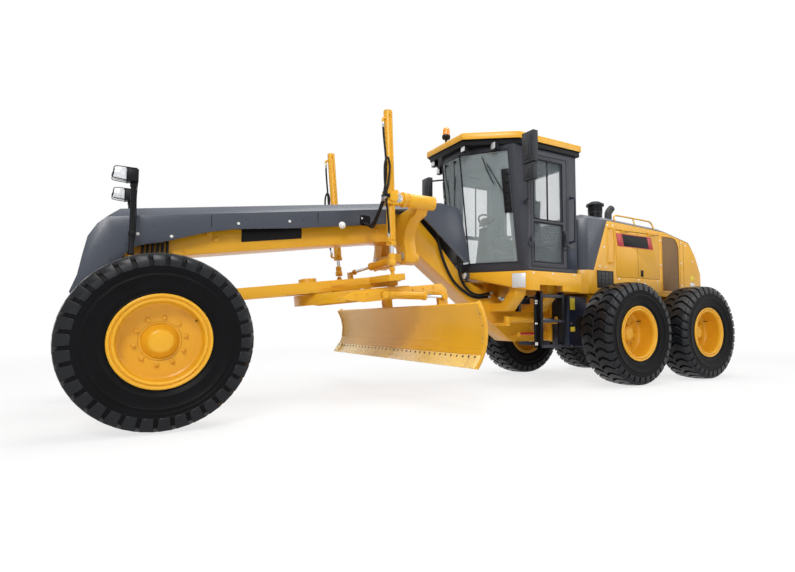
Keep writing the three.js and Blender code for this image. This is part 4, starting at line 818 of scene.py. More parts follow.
def drawbar():
    for node in ("drawbar", "circle", "blade_carrier"):
        refine(node, [YELLOW], None, 5)
    refine("moldboard", [YELLOW], None, 3, 25)
    kit = Kit(D)
    teeth = []
    for i in range(76):
        t = 2 * math.pi * i / 76
        for dt, r in ((-0.022, 541), (-0.010, 527), (0.010, 527), (0.022, 541)):
            teeth.append((CIRCLE_U + r * math.cos(t + dt), r * math.sin(t + dt)))
    n = len(teeth)
    points = [(x, y, z) for z in (-128, -102) for x, y in teeth]
    outer = [(CIRCLE_U + 545 * math.cos(2 * math.pi * k / n), 545 * math.sin(2 * math.pi * k / n))
            for k in range(n)]
    points += [(x, y, z) for z in (-128, -102) for x, y in outer]
    faces = []
    for k in range(n):
        j = (k + 1) % n
        faces += [(k, j, n + j, n + k), (2 * n + k, 3 * n + k, 3 * n + j, 2 * n + j),
                (k, 2 * n + k, 2 * n + j, j), (n + k, n + j, 3 * n + j, 3 * n + k)]
    kit.add(points, faces)
    kit.done("circle_teeth", IRON, "circle")
    kit = Kit(D)
    for i in range(4):
        t = math.radians(45 + 90 * i)
        u, v = CIRCLE_U + 500 * math.cos(t), 500 * math.sin(t)
        kit.bolts([(u + 34 * math.cos(k), v + 34 * math.sin(k), -9) for k in (0.5, 2.6, 4.7)], (0, 0, 1),
                12, 12)
    kit.spin([(0, 104), (14, 104), (18, 96), (20, 78), (52, 70), (58, 60)], (1180, 0, 52), (1180, 0, 60), 40)
    kit.bolts([(1180 + u, v, 52) for u, v in around(8, 92)], (0, 0, 1), 9, 9)
    for s in (-1, 1):
        kit.bolts([(1990 - 40 * k, s * (560 - 20 * k), 55) for k in range(3)], (0, 0, 1), 11, 10)
    kit.done("drawbar_fittings", YELLOW, "drawbar", 1.5)
    kit = Kit(D)
    for s in (-1, 1):
        kit.bolts([(u, s * 700, w) for u in (1430, 1560, 1690, 2100, 2230, 2360) for w in (-118, -172)
                if not (s < 0 and 1680 < u < 1760)], (0, s, 0), 11, 10)
        kit.spin([(0, 50), (6, 50), (10, 44)], (2440, s * 700, -690), (2440, s * 701, -690), 32)
        kit.bolts([(2440 + 30 * math.cos(t), s * 708, -690 + 30 * math.sin(t))
                for t in (0.5, 2.1, 3.7, 5.3)], (0, s, 0), 8, 7)
    kit.done("circle_arm_bolts", YELLOW, "circle", 1)
    blade_edges()


def blade_band(kit, degs, proud, v0, v1):
    """A strip on the blade's hollow face between two angles of its arc, standing proud of it."""
    steps = [degs[0] + (degs[1] - degs[0]) * k / 3 for k in range(4)]
    face, front = [blade_arc(478.6, d) for d in steps], [blade_arc(479 - proud, d) for d in steps[::-1]]
    kit.prism(face + front, 1, v0, v1)


def blade_edges():
    # The cutting edge and end bits take the yellow lightened into a painted glare highlight.
    kit = Kit(D)
    for v0, v1 in ((-1757, -2), (2, 1757)):
        blade_band(kit, (-49, -32), 13, v0, v1)
    kit.done("cutting_edge", GLARE_LIT_YELLOW, "moldboard", 1.5)
    kit = Kit(D)
    for s in (-1, 1):
        v0, v1 = span(s, 1600, 1756)
        kit.prism([blade_arc(466, d) for d in (-49, -45, -39, -32)] + [blade_arc(459, d)
                for d in (-32, -39, -45, -49)], 1, v0, v1)
    kit.done("blade_end_bits", GLARE_LIT_YELLOW, "moldboard", 1.5)
    kit = Kit(D)
    blade_band(kit, (-31.5, -25.5), 7, -1756, 1756)
    blade_band(kit, (-25.5, -18), 3.5, -1756, 1756)
    for s in (-1, 1):
        v0, v1 = span(s, 1722, 1756)
        blade_band(kit, (-18, 27.5), 8, v0, v1)
    kit.done("blade_wear_strips", YELLOW, "moldboard", 1.5)
    kit = Kit(D)
    for i in range(34):
        u, w = blade_arc(466 if abs(i - 16.5) < 15 else 459, -35)
        inward = (-math.cos(math.radians(-35)), 0, -math.sin(math.radians(-35)))
        kit.bolt((u, -1700 + 3400 * i / 33, w), inward, 9, 4, 14)
    for s in (-1, 1):
        for d in (-12, 2, 16):
            u, w = blade_arc(471, d)
            kit.bolt((u, s * 1739, w), (-math.cos(math.radians(d)), 0, -math.sin(math.radians(d))), 8, 4, 14)
    kit.done("cutting_edge_bolts", IRON, "moldboard")
    kit = Kit(D)
    for v in (-1350, -900, -300, 300, 900, 1350):
        inner = [blade_arc(500, d) for d in (-20, -11, -2, 7)]
        kit.prism(inner + [blade_arc(533, d) for d in (6, -2, -11, -19)], 1, v - 8, v + 8)
    kit.done("blade_back_ribs", YELLOW, "moldboard", 1.5)


# ---------------------------------------------------------------- cab
def frame_ring(kit, wide, z, band, deep, across=False):
    """A flat rectangular frame band wide round an opening wide by z; across turns it to face along x."""
    (a0, a1), (z0, z1) = wide, z
    for a, b in (((a0 - band, a1 + band), (z1, z1 + band)), ((a0 - band, a1 + band), (z0 - band, z0)),
                 ((a0 - band, a0), (z0, z1)), ((a1, a1 + band), (z0, z1))):
        kit.box(*((deep, a, b) if across else (a, deep, b)))


def cab_shell():
    def beacon(p):
        return p[2] > 3164 and 220 < p[1] < 380 and 3400 < p[0] < 3600
    refine("cab_roof", [YELLOW, BLACK], lambda p: 1 if p[2] < 3062 else 0, 9, 20, beacon)
    kit = Kit()
    at, up = (3500, 300, 3150), (3500, 300, 3160)
    kit.spin([(0, 30), (10, 30), (12, 16), (176, 16), (180, 50), (196, 58), (226, 58), (232, 52)], at, up,
            40)
    kit.paint = 1
    kit.spin([(230, 51), (246, 53), (300, 51), (328, 44), (343, 30), (349, 12), (350, 1)], at, up, 40)
    kit.done("beacon", [BLACK, AMBER], "front", 1)
    refine("cab_frame", [FRAME_GREY], None, 4)
    refine("cab_floor", [YELLOW], None, 7)
    dress("windshield", GLASS)
    kit = Kit()
    for z0, z1 in ((1551, 1560), (2930, 2939)):
        for s in (-1, 1):
            lean = prow_lean(z0)
            kit.prism([(3889 - lean, s * 733), (3526 - lean, s * 202), (3526 - lean, s * 190),
                    (3895 - lean, s * 729)], 2, z0, z1)
    for s in (-1, 1):
        kit.tube([prow(z, 0.012, 1, s) for z in (1552, 2000, 2500, 2938)], 9, 8, 3)
    kit.done("windshield_gasket", BLACK, "front")
    for word, s in SIDES:
        kit = Kit()
        for z in ((2106, 2864), (1566, 2064)):
            kit.box((4091, 4579), span(s, 772, 779), z)
        kit.done("door_glass_" + word, DOOR_GLASS, "cab_door_" + word, 0.6)
        kit = Kit()
        for z in ((2110, 2860), (1570, 2060)):
            frame_ring(kit, (4095, 4575), z, 13, span(s, 796, 803))
        kit.box((4330, 4348), span(s, 768, 783), (2106, 2864))
        kit.done("door_gaskets_" + word, BLACK, "cab_door_" + word, 2)
        refine("cab_door_" + word, [FRAME_GREY], None, 4)
        kit = Kit()
        kit.box((4588, 4640), span(s, 799, 822), (1790, 1985))
        kit.box((4598, 4630), span(s, 822, 838), (1840, 1950))
        kit.tube([(4610, s * 800, 1740), (4622, s * 852, 1745), (4640, s * 852, 1765),
                (4640, s * 852, 1780), (4634, s * 812, 1800)], 9, 12, 6)
        kit.done("door_handle_" + word, PLASTIC, "cab_door_" + word, 6)
    kit = Kit()
    kit.box((4803, 4809), (-645, 645), (1896, 2884))
    kit.done("rear_glass", DOOR_GLASS, "front", 0.6)
    kit = Kit()
    kit.box((4800, 4834), (-24, -6), (1896, 2884))
    frame_ring(kit, (-640, 640), (1900, 2880), 14, (4828, 4835), True)
    kit.done("rear_window_frame", BLACK, "front", 2)
    kit = Kit()
    for s in (-1, 1):
        kit.tube([(4720, s * 801, 1850), (4722, s * 862, 1862), (4728, s * 866, 1900),
                (4740, s * 866, 2300), (4738, s * 862, 2420), (4728, s * 801, 2440)], 11, 12, 6)
        kit.spin([(0, 24), (5, 24), (6, 20)], (4720, s * 799, 1850), (4720, s * 800, 1850), 20)
        kit.spin([(0, 24), (5, 24), (6, 20)], (4728, s * 799, 2440), (4728, s * 800, 2440), 20)
        kit.box((4655, 4820), span(s, 800, 803), (1500, 1780))
    kit.done("cab_grab_rails", NAVY, "front", 1.5)
    kit = Kit()
    for s in (-1, 1):
        kit.bolts([(x, s * 870, 1418) for x in (4010, 4330, 4700)], (0, s, 0), 9, 6, 14)
    kit.done("skirt_caps", WHITE, "front")
    kit = Kit()
    for s in (-1, 1):
        corners = [skirt_face(t, d, s) for t, d in ((0.72, 0.4), (0.94, 0.4), (0.94, 2.6), (0.72, 2.6))]
        kit.prism(corners, 2, 1236, 1412)
    kit.done("blank_skirt_plate", PLATE, "front", 0.6)


def skirt_face(t, out, s):
    """A place on the slanted front of the cab's skirt: t from its front (0) to the side wall (1)."""
    low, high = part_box("cab_floor")
    rear_x, half, front_half = 3937, high[1] * 1000, 252
    front_x = (low[0] - AXLE_X) * 1000
    x, y = front_x + (rear_x - front_x) * t, front_half + (half - front_half) * t
    turn = math.atan2(half - front_half, rear_x - front_x)
    return x - out * math.sin(turn), s * (y + out * math.cos(turn))


def prow_lean(z):
    """How far forward the cab's leaning front stands at height z, more than at its foot."""
    return 165 * (z - 1441) / 1559


def prow(z, t, out=0.0, s=-1):
    """A place on the slanted side of the glass prow: t from its front corner (0) to its rear (1)."""
    x, y = 3530 + 410 * t - prow_lean(z), 200 + 600 * t
    return (x - 0.826 * out, s * (y + 0.564 * out), z)


def wipers():
    kit = Kit()
    for s in (-1, 1):
        a, b = prow(2330, 0.80, 14, s), prow(2790, 0.50, 16, s)
        kit.tube([a, prow(2560, 0.66, 24, s), b], 6, 8, 5)
        kit.tube([prow(2880, 0.43, 8, s), prow(2700, 0.5, 8, s), prow(2520, 0.60, 8, s)], 6, 8, 5)
        for z, t in ((2300, 0.81), (2420, 0.82), (2540, 0.83), (2640, 0.84), (2210, 0.80)):
            p, q = prow(z, t, -2, s), prow(z, t, 22, s)
            kit.spin([(0, 24), (18, 24), (24, 17)], p, q, 16)
        kit.add([prow(z, t, out, s) for out in (-2, 10) for t in (0.74, 0.87) for z in (2160, 2700)],
                BOX_FACES)
    for y in (-105, 105):
        lean = prow_lean(2880)
        kit.spin([(0, 18), (22, 18), (26, 12)], (3532 - lean, y, 2880), (3500 - lean, y, 2880), 16)
        kit.tube([(3512 - 152, y, 2880), (3505 - 135, y * 0.9, 2700), (3510 - 120, y * 0.6, 2520)], 6, 8, 5)
        kit.tube([(3508 - 133, y * 0.9 - 30, 2690), (3510 - 112, y * 0.6, 2440),
                (3512 - 92, y * 0.4 + 20, 2240)], 6, 8, 5)
    kit.done("wipers", BLACK, "front", 1)


def cab_lamps():
    kit = Kit()
    spots = [(3352, -360, 3052, -1), (3352, 360, 3052, -1), (3610, -640, 3054, -1), (3610, 640, 3054, -1),
            (4835, -600, 3020, 1), (4835, 600, 3020, 1)]
    for x, y, z, d in spots:
        kit.box((x - 28, x + 28), (y - 46, y + 46), (z - 118, z - 30))
        kit.box((x - 10, x + 10), (y - 12, y + 12), (z - 34, z + 20))
    kit.paint = 1
    for x, y, z, d in spots:
        kit.box(sorted((x + d * 28, x + d * 34)), (y - 40, y + 40), (z - 112, z - 36))
    kit.done("work_lamps", [BLACK, LENS], "front", 5)
    kit = Kit()
    kit.spin([(0, 52), (34, 52), (42, 46), (46, 46), (46, 40)], (3425, -300, 1380), (3385, -300, 1390), 36)
    kit.spin([(0, 30), (-20, 26), (-26, 12)], (3425, -300, 1380), (3385, -300, 1390), 24)
    kit.box((3412, 3436), (-306, -294), (1330, 1345))
    kit.box((3405, 3470), (-320, -200), (1318, 1330))
    kit.paint = 1
    kit.spin([(0, 43), (5, 40), (9, 24), (10, 1)], (3383, -300, 1390.5), (3343, -300, 1400.5), 32)
    kit.done("skirt_lamp", [IRON, LENS], "front", 1)


def padded_box(name, size, centre, tilt, crown, seams):
    """A stuffed form: rounded box, crowned on top, with stitched channels across it; size along x, y, z."""
    sx, sy, sz = size
    points, faces, n = [], [], 26

    def squircle(a, b, e=4.0):
        k = (abs(a) ** e + abs(b) ** e) ** (1 / e)
        return (a / k * max(abs(a), abs(b)), b / k * max(abs(a), abs(b))) if k else (0, 0)
    for top in (1, -1):
        for i in range(n + 1):
            for j in range(n + 1):
                a, b = 2 * i / n - 1, 2 * j / n - 1
                x, y = squircle(a, b)
                edge = max(abs(a), abs(b))
                fall = max(0.0, 1 - edge ** 6) ** 0.42
                z = top * sz / 2 * (0.34 + 0.66 * fall)
                if top > 0:
                    z += crown * (1 - a * a) * (1 - b * b)
                    for kind, place in seams:
                        d = (a if kind == "x" else b) - place
                        z -= 8.5 * math.exp(-(d / 0.035) ** 2) * fall
                    z += 1.6 * math.sin(9 * a + 3 * b) * math.sin(7 * b - 2 * a) * fall
                points.append((x * sx / 2, y * sy / 2, z))
    m = (n + 1) ** 2
    for i in range(n):
        for j in range(n):
            p, q = i * (n + 1) + j, (i + 1) * (n + 1) + j
            faces += [(p, q, q + 1, p + 1), (m + p, m + p + 1, m + q + 1, m + q)]
    rim = ([i * (n + 1) for i in range(n)] + [n * (n + 1) + j for j in range(n)]
           + [i * (n + 1) + n for i in range(n, 0, -1)] + [j for j in range(n, 0, -1)])
    for k in range(len(rim)):
        p, q = rim[k], rim[(k + 1) % len(rim)]
        faces.append((p, m + p, m + q, q))
    turn = Matrix.Rotation(math.radians(tilt), 3, "Y")
    kit = Kit()
    kit.add([tuple(turn @ Vector(p) + Vector(centre)) for p in points], faces)
    kit.done(name, FABRIC, "front", 0, 60)
    edge = [turn @ Vector(points[k]) + Vector(centre) for k in rim]
    piping = Kit()
    line = [p + (p - Vector(centre)).normalized() * 1.5 - turn @ Vector((0, 0, 0.34 * sz / 2))
            for p in edge[::2]]
    piping.tube([tuple(p) for p in line + line[:1]], 4.5, 8, 2)
    piping.done(name + "_piping", TRIM, "front")


def seat():
    padded_box("seat_cushion", (480, 500, 120), (4475, 0, 1885), -3, 9,
            [("x", -0.45), ("x", 0.05), ("y", -0.62), ("y", 0.62)])
    padded_box("seat_back", (640, 440, 96), (4690, 0, 2235), -84, 7,
            [("x", -0.5), ("x", -0.1), ("x", 0.3), ("y", -0.64), ("y", 0.64)])
    kit = Kit()
    kit.prism([(4250, 1790), (4700, 1790), (4716, 1812), (4700, 1832), (4262, 1830), (4240, 1812)], 1, -222,
            222)
    kit.prism([(4335, 1448), (4640, 1448), (4620, 1470), (4600, 1600), (4600, 1700), (4640, 1790),
            (4330, 1790), (4372, 1700), (4372, 1600), (4352, 1470)], 1, -150, 150)
    kit.prism([(4735, 1840), (4756, 1850), (4790, 2520), (4766, 2535), (4745, 2300)], 1, -175, 175)
    kit.done("seat_base", PLASTIC, "front", 8)
    kit = Kit()
    for k in range(7):
        z = 1500 + 26 * k
        kit.box((4352, 4620), (-166, 166), (z, z + 14))
    kit.done("seat_bellows", HOSE, "front", 5)
    for word, s in SIDES:
        kit = Kit()
        a, b = span(s, 262, 330)
        kit.prism([(4330, 1880), (4640, 1880), (4640, 2010), (4560, 2048), (4290, 2040), (4262, 2010),
                (4290, 1960)], 1, a, b)
        kit.done("arm_console_" + word, TRIM, "front", 12)
        kit = Kit()
        kit.box((4430, 4640), span(s, 256, 328), (2048, 2078))
        kit.done("arm_pad_" + word, FABRIC, "front", 13)
        kit = Kit()
        for k, x in enumerate((4290, 4330, 4370)):
            kit.rod((x, s * (280 + 12 * (k % 2)), 2036), (x - 8, s * (280 + 12 * (k % 2)), 2066), 4, 10)
            kit.dome((x - 8, s * (280 + 12 * (k % 2)), 2066), 9, 14)
        kit.done("arm_levers_" + word, BLACK, "front")


def cockpit():
    kit = Kit()
    kit.prism([(3806, 1448), (3958, 1448), (3975, 1700), (4008, 2030), (3996, 2062), (3920, 2098),
            (3898, 2080), (3850, 1760)], 1, -84, 84)
    kit.prism([(3880, 2060), (3996, 2030), (4004, 2048), (3905, 2098)], 1, -88, 88)
    kit.done("steering_console", TRIM, "front", 10)
    kit = Kit()
    a, b = Vector((3950, 0, 2060)), Vector((4020, 0, 2160))
    axis = (b - a).normalized()
    kit.spin([(0, 30), (70, 27), (76, 20), (110, 18)], a, b, 24)
    centre = a + axis * 122
    side, other = axis.orthogonal().normalized(), axis.cross(axis.orthogonal().normalized())
    ring = [centre + (side * math.cos(2 * math.pi * k / 36) + other * math.sin(2 * math.pi * k / 36)) * 176
            for k in range(37)]
    kit.tube(ring, 12, 12, 2)
    for k in range(3):
        t = 2 * math.pi * k / 3 + math.pi / 2
        spoke = side * math.cos(t) + other * math.sin(t)
        kit.tube([centre - axis * 10 + spoke * 28, centre - axis * 6 + spoke * 100, centre + spoke * 172],
                9, 8, 4)
    kit.spin([(-20, 30), (-6, 42), (4, 42), (8, 34)], centre, centre + axis, 28)
    kit.done("steering_wheel", PLASTIC, "front")
    kit = Kit()
    kit.box((3770, 4750), (-235, 235), (1441.5, 1447))
    for k in range(22):
        kit.box((3960, 4320), (-220 + 20 * k, -212 + 20 * k), (1447, 1450))
    kit.done("floor_mat", HOSE, "front", 1.5)
    kit = Kit()
    for y in (-60, 60):
        kit.prism([(3990, 1500), (4002, 1496), (4040, 1600), (4028, 1606)], 1, y - 38, y + 38)
        kit.box((3950, 4000), (y - 6, y + 6), (1520, 1540))
    kit.done("pedals", BLACK, "front", 3)
    kit = Kit()
    kit.prism([(3884, 2120), (3900, 2112), (3966, 2226), (3950, 2236)], 1, -84, 84)
    kit.rod((3926, 0, 2085), (3920, 0, 2150), 9, 12)
    kit.paint = 1
    kit.prism([(3903, 2121), (3905, 2120), (3965, 2223), (3963, 2224)], 1, -72, 72)
    kit.done("gauge_pod", [PLASTIC, LENS], "front", 3)
    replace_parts(bpy.data.objects["seat_base"], "cab_interior")


def ladders_and_mirrors():
    for word, s in SIDES:
        kit = Kit()
        for x in (4165, 4530):
            kit.box((x, x + 40), span(s, 745, 815), (500, 1200))
            kit.box((x - 6, x + 46), span(s, 738, 745), (496, 1200))
        kit.box((4108, 4160), span(s, 752, 768), (500, 1130))
        for z in (560, 790, 1060):
            kit.box((4150, 4170), span(s, 752, 768), (z, z + 40))
        kit.paint = 1
        for z in (500, 810, 1125):
            kit.box((4165, 4570), span(s, 705, 812), (z, z + 33))
        kit.paint = 2
        for z in (540, 560, 800, 1050, 1080):
            kit.bolts([(x, s * 768, z) for x in (4122, 4146)], (0, s, 0), 8, 7)
        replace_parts(kit.done("ladder_steps_" + word, [BLACK, FRAME_GREY, WHITE], "front", 3),
                "ladder_" + word)
        refine("mirror_" + word, [PLASTIC], None, 16)
        kit = Kit()
        for z in (500, 810, 1125):
            for x in range(4215, 4525, 26):
                kit.box((x, x + 12), span(s, 712, 808), (z + 34, z + 39))
        kit.bolts([(x, s * 815, z + 17) for x in (4185, 4550) for z in (500, 810, 1125)], (0, s, 0), 9, 7)
        kit.done("ladder_grips_" + word, FRAME_GREY, "front", 1)
        kit = Kit()
        for z0, z1 in ((2672, 2990), (2465, 2620)):
            x = 3736 if z0 > 2600 else 3731
            kit.box((x, x + 11), span(s, 1082, 1243), (z0, z1))
        kit.done("mirror_glass_" + word, CHROME, "front", 5)
        kit = Kit()
        for z0, z1 in ((2690, 2975), (2475, 2612)):
            a, b = span(s, 1100, 1225)
            x = 3675 if z0 > 2600 else 3680
            kit.box((x - 10, x + 4), (a, b), (z0, z1))
            kit.box((x - 18, x - 8), span(s, 1135, 1190), (z0 + 30, z1 - 90 if z0 > 2600 else z1 - 30))
        kit.spin([(0, 20), (34, 20), (38, 14)], (3720, s * 1110, 2275), (3720, s * 1110, 2240), 20)
        kit.done("mirror_backs_" + word, PLASTIC, "front", 7)


# ---------------------------------------------------------------- rear end
def hood_z(x):
    for (x0, z0), (x1, z1) in zip(HOOD_TOP, HOOD_TOP[1:]):
        if x <= x1:
            return z0 + (z1 - z0) * (x - x0) / (x1 - x0)
    return 1600


def rear_body():
    for node in ("rear_frame", "tandem_axle"):
        refine(node, [YELLOW], None, 6)
    dress("engine", IRON)
    refine("hood", [YELLOW], None, 5, 24)

    def top(p):
        cleaner = math.hypot(p[0] - CLEANER[0], p[1] - CLEANER[1]) < 140 and p[2] > 2345
        exhaust = abs(p[1]) < 75 and 6330 < p[0] < 6560 and p[2] > 2300
        return 1 if cleaner or exhaust else 0
    refine("hood_cover", [GREY, BLACK], top, 5, 24)
    for word, s in SIDES:
        refine("hood_door_" + word, [YELLOW], None, 5)
        refine("side_tank_" + word, [NAVY], None, 10)
    hood_sides()
    hood_top()
    tank_details()
    axle_details()


def hood_sides():
    for word, s in SIDES:
        def out(d0, d1):
            return span(s, HOOD_HALF + d0, HOOD_HALF + d1)
        kit = Kit()
        kit.box((5418, 5732), out(-3, 4), (1308, 1532))
        kit.done("hood_vent_" + word, VENT, "rear", 1.5)
        kit = Kit()
        frame_ring(kit, (5418, 5732), (1308, 1532), 10, out(-1, 8))
        for k in range(3):
            kit.box((5418, 5732), out(2, 7), (1358 + 56 * k, 1364 + 56 * k))
        for k in range(3):
            kit.box((5492 + 78 * k, 5498 + 78 * k), out(2, 7), (1308, 1532))
        kit.done("hood_vent_frame_" + word, BLACK, "rear", 1.5)
        kit = Kit()
        outline = [(6870, 1300), (7292, 1300), (7292, 1980), (7262, 2060), (7210, 2120), (7130, 2143),
                (6870, 2143)]
        kit.prism(outline, 1, *out(-2, 4))
        kit.done("hood_grille_" + word, GRILLE, "rear", 1)
        kit = Kit()
        grow = [(6858, 1288), (7304, 1288), (7304, 1984), (7272, 2068), (7216, 2131), (7134, 2155),
                (6858, 2155)]
        n = len(outline)
        for k in range(n):
            a, b, c, d = outline[k], outline[(k + 1) % n], grow[(k + 1) % n], grow[k]
            kit.prism([a, b, c, d], 1, *out(-1, 9))
        kit.done("hood_grille_frame_" + word, YELLOW, "rear", 2)
        kit = Kit()
        kit.tube([(5672, s * 618, 1662), (5688, s * 668, 1668), (5700, s * 680, 1700), (5712, s * 680, 1900),
                  (5704, s * 680, 2130), (5690, s * 668, 2160), (5678, s * 618, 2166)], 11, 12, 6)
        for x, z in ((5672, 1662), (5678, 2166)):
            kit.spin([(0, 24), (5, 24), (7, 20)], (x, s * 618, z), (x, s * 619, z), 20)
        kit.done("hood_grab_bar_" + word, YELLOW, "rear", 1)
        kit = Kit()
        kit.box((6297, 6302), out(-2, 0.8), (1470, 2140))
        kit.box((7420, 7425), out(-2, 0.8), (1250, 2060))
        kit.box((5400, 7800), out(-2, 0.6), (1262, 1266))
        kit.box((5660, 5664), out(-2, 0.6), (1266, 1300))
        kit.prism([(7330, 1290), (7334, 1290), (7334, 2140), (7330, 2140)], 1, *out(-2, 0.8))
        kit.done("hood_seams_" + word, BLACK, "rear")
        kit = Kit()
        spots = [(5470, 1600), (5560, 1880), (5640, 2200), (5760, 2210), (5870, 1440), (6300, 1440),
                (6750, 1440), (5760, 1700), (6840, 1700), (6845, 2080), (7360, 2080), (7360, 1400),
                (7360, 1750), (7700, 1350), (5590, 1590), (7480, 2050), (7660, 1800)]
        kit.bolts([(x, s * 620, z) for x, z in spots], (0, s, 0), 10, 6, 14)
        kit.done("hood_caps_" + word, WHITE, "rear")
        hood_plates(word, s, out)


def hood_plates(word, s, out):
    door = "hood_door_" + word
    kit = Kit()
    kit.box((6356, 6414), out(-1, 7), (1494, 1590))
    kit.box((6368, 6402), out(7, 15), (1520, 1566))
    kit.done("hood_latch_" + word, BLACK, door, 3)
    kit = Kit()
    kit.prism([(5854, 1924), (6658, 1924), (6610, 2096), (5822, 2096)], 1, *out(0, 2.5))
    kit.done("blank_hood_plate_" + word, BLACK, door, 0.8)
    kit = Kit()
    kit.box((5852, 6662), out(0, 3), (1916, 1924))
    kit.box((5820, 6610), out(0, 3), (2096, 2104))
    kit.prism([(6560, 1924), (6662, 1924), (6612, 2098), (6516, 2098)], 1, *out(0, 3.2))
    kit.prism([(5852, 1924), (5990, 1924), (5950, 2098), (5820, 2098)], 1, *out(0, 3.2))
    kit.done("hood_plate_edge_" + word, RED, door, 0.8)
    for name, x, z, paint in (("a", (5950, 6150), (1345, 1400), STICKER),
                              ("b", (6180, 6240), (1340, 1405), BLACK),
                              ("c", (6400, 6470), (1345, 1400), PLATE),
                              ("d", (7590, 7700), (1395, 1450), PLATE),
                              ("e", (7600, 7690), (1490, 1560), STICKER)):
        kit = Kit()
        kit.box(x, out(-0.5, 1.4), z)
        kit.done(f"blank_label_{name}_{word}", paint, "rear", 0.5)


def hood_top():
    kit = Kit()
    for s in (-1, 1):
        path = [(5905, s * 545, hood_z(5905) + 30), (5915, s * 512, 2350), (5945, s * 508, 2388),
                (6050, s * 508, 2396), (6650, s * 508, 2384), (6760, s * 508, 2374), (6795, s * 512, 2336),
                (6805, s * 545, hood_z(6805) + 28)]
        kit.tube(path, 12, 12, 6)
        kit.tube([(6350, s * 508, 2390), (6350, s * 520, 2340), (6350, s * 548, hood_z(6350) + 28)], 10, 10,
                5)
    kit.done("hood_handrails", YELLOW, "rear")
    kit = Kit()
    x, y = CLEANER
    for z in (2345, 2480, 2572):
        kit.spin([(0, 96), (3, 109), (16, 109), (19, 96)], (x, y, z), (x, y, z + 1), 48)
    for k in range(28):
        t = 2 * math.pi * k / 28
        c, d = math.cos(t), math.sin(t)
        kit.add([(x + (106 + r) * c + a * d, y + (106 + r) * d - a * c, z) for z in (2498, 2572)
                for a in (-2, 2) for r in (-6, 3)], BOX_FACES)
    kit.spin([(0, 106), (3, 126), (6, 134), (12, 134.5), (24, 132), (40, 118), (54, 88), (62, 46), (64, 12),
            (68, 11), (70, 2)], (x, y, 2592), (x, y, 2593), 64)
    kit.done("air_precleaner", PLASTIC, "rear", 1.5)
    kit = Kit()
    bend = [(6400, 0, 2300), (6400, 0, 2480), (6402, 0, 2550), (6424, 0, 2598), (6486, 0, 2657)]
    kit.tube(bend, 57, 28, 8)
    kit.spin([(0, 74), (12, 74), (16, 68)], (6400, 0, hood_z(6400) + 60), (6400, 0, 2400), 32)
    kit.done("exhaust_pipe", IRON, "rear", 1)
    kit = Kit()
    for x in (5300, 5760, 6900):
        kit.box((x, x + 5), (-500, 500), (hood_z(x) + 60, hood_z(x) + 63.5))
    for y in (-330, 330):
        kit.bolts([(x, y, hood_z(x) + 62) for x in (5350, 5600, 6150, 6650, 7000, 7400)], (0, 0, 1), 10, 6)
    kit.done("hood_top_seams", BLACK, "rear")
    kit = Kit()
    for x in (7000, 7120, 7240, 7360, 7480):
        z0, z1 = hood_z(x) + 62, hood_z(x + 60) + 62
        kit.prism([(x, z0 - 2), (x + 60, z1 - 2), (x + 60, z1 + 6), (x, z0 + 10)], 1, -300, 300)
    kit.done("hood_louvres", GREY, "rear", 2)
    kit = Kit()
    for s in (-1, 1):
        kit.prism([(7772, 1755), (7842, 1606), (7850, 1610), (7780, 1760)], 1, *span(s, 420, 560))
    kit.done("rear_lamps", RED, "rear", 3)
    kit = Kit()
    for k in range(9):
        z = 1420 + 20 * k
        kit.box((7864, 7870), (-380, 380), (z - 2, z + 8))
    kit.done("rear_louvres", BLACK, "rear", 1)


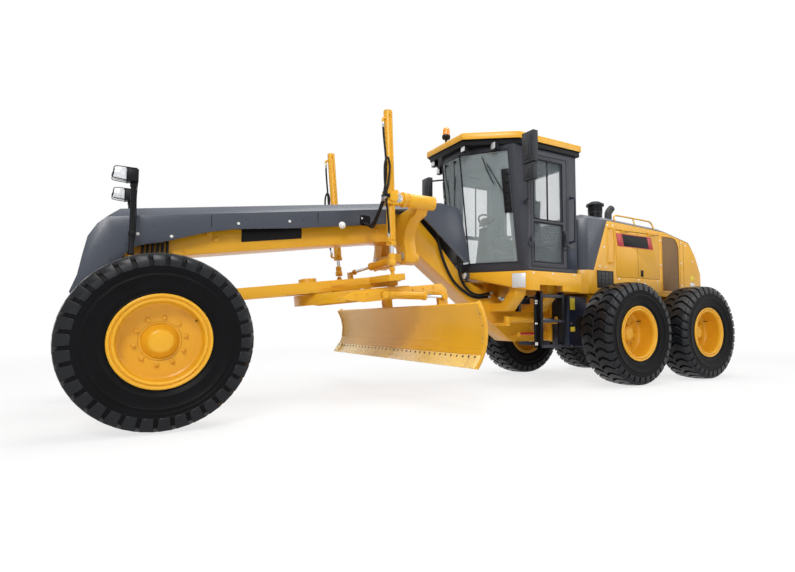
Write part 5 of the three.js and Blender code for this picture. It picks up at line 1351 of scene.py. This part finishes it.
def tank_details():
    kit = Kit()
    for s in (-1, 1):
        kit.spin([(0, 104), (5, 104), (7, 97), (2, 92), (2, 1)], (5186, s * 519, 795), (5186, s * 520, 795),
                48)
        kit.spin([(0, 34), (22, 34), (26, 28)], (5060, s * 400, 1168), (5060, s * 400, 1169), 28)
    kit.done("tank_ports", BLACK, "rear", 1)
    kit = Kit()
    for s in (-1, 1):
        for x, z in (((4975, 5068), (985, 1150)), ((4978, 5062), (690, 752))):
            kit.box(x, span(s, 519.6, 521.4), z)
    kit.done("blank_tank_labels", STICKER, "rear", 0.5)
    kit = Kit()
    for s in (-1, 1):
        kit.bolts([(x, s * 520, z) for x in (4995, 5285) for z in (500, 800, 1150)], (0, s, 0), 9, 7)
    kit.done("tank_bolts", STEEL, "rear")
    kit = Kit()
    for y in (-300, 300):
        kit.rod((4236, y, 665), (4540, y, 665), 17, 20)
    kit.done("articulation_locks", RED, "front", 2)
    kit = Kit()
    for s in (-1, 1):
        for x in (4250, 4526):
            kit.box((x - 14, x + 14), span(s, 165, 322), (628, 646))
            kit.spin([(0, 22), (40, 22), (44, 16)], (x, s * 300, 640), (x, s * 300, 641), 20)
    kit.done("lock_brackets", YELLOW, "front", 3)


def axle_details():
    kit = Kit()
    for s in (-1, 1):
        a, b = span(s, 799, 806)
        outline = [(-760, -90), (-640, -120), (-150, -150), (150, -150), (640, -120), (760, -90), (760, 90),
                (640, 120), (150, 150), (-150, 150), (-640, 120), (-760, 90)]
        kit.prism([(TANDEM_X + x, TYRE_R + z) for x, z in outline], 1, a, b)
        kit.bolts([(TANDEM_X + x * 0.965, s * 806, TYRE_R + z * 0.88) for x, z in outline], (0, s, 0), 11, 9)
        for x in (MID_X, REAR_X):
            kit.bolts([(x + c, s * 806, TYRE_R + d) for c, d in around(12, 138)], (0, s, 0), 10, 8)
    kit.bolts([(TANDEM_X + c, 0, TYRE_R + d) for c, d in around(16, 262)], (0, -1, 0), 9, 8)
    kit.done("tandem_covers", YELLOW, "rear", 3)
    kit = Kit()
    for s in (-1, 1):
        for k in range(2):
            kit.tube([(4990 + 40 * k, s * 150, 1140), (5010 + 40 * k, s * 190, 1190),
                    (5120, s * 240, 1185 - 30 * k), (5300, s * 280, 1168 - 20 * k), (5430, s * 320, 1155)],
                    13, 10, 6)
    kit.done("rear_hoses", HOSE, "rear")


# ---------------------------------------------------------------- build
set_camera()
set_stage()
wheels()
front_frame()
cylinders()
drawbar()
cab_shell()
wipers()
cab_lamps()
seat()
cockpit()
ladders_and_mirrors()
rear_body()
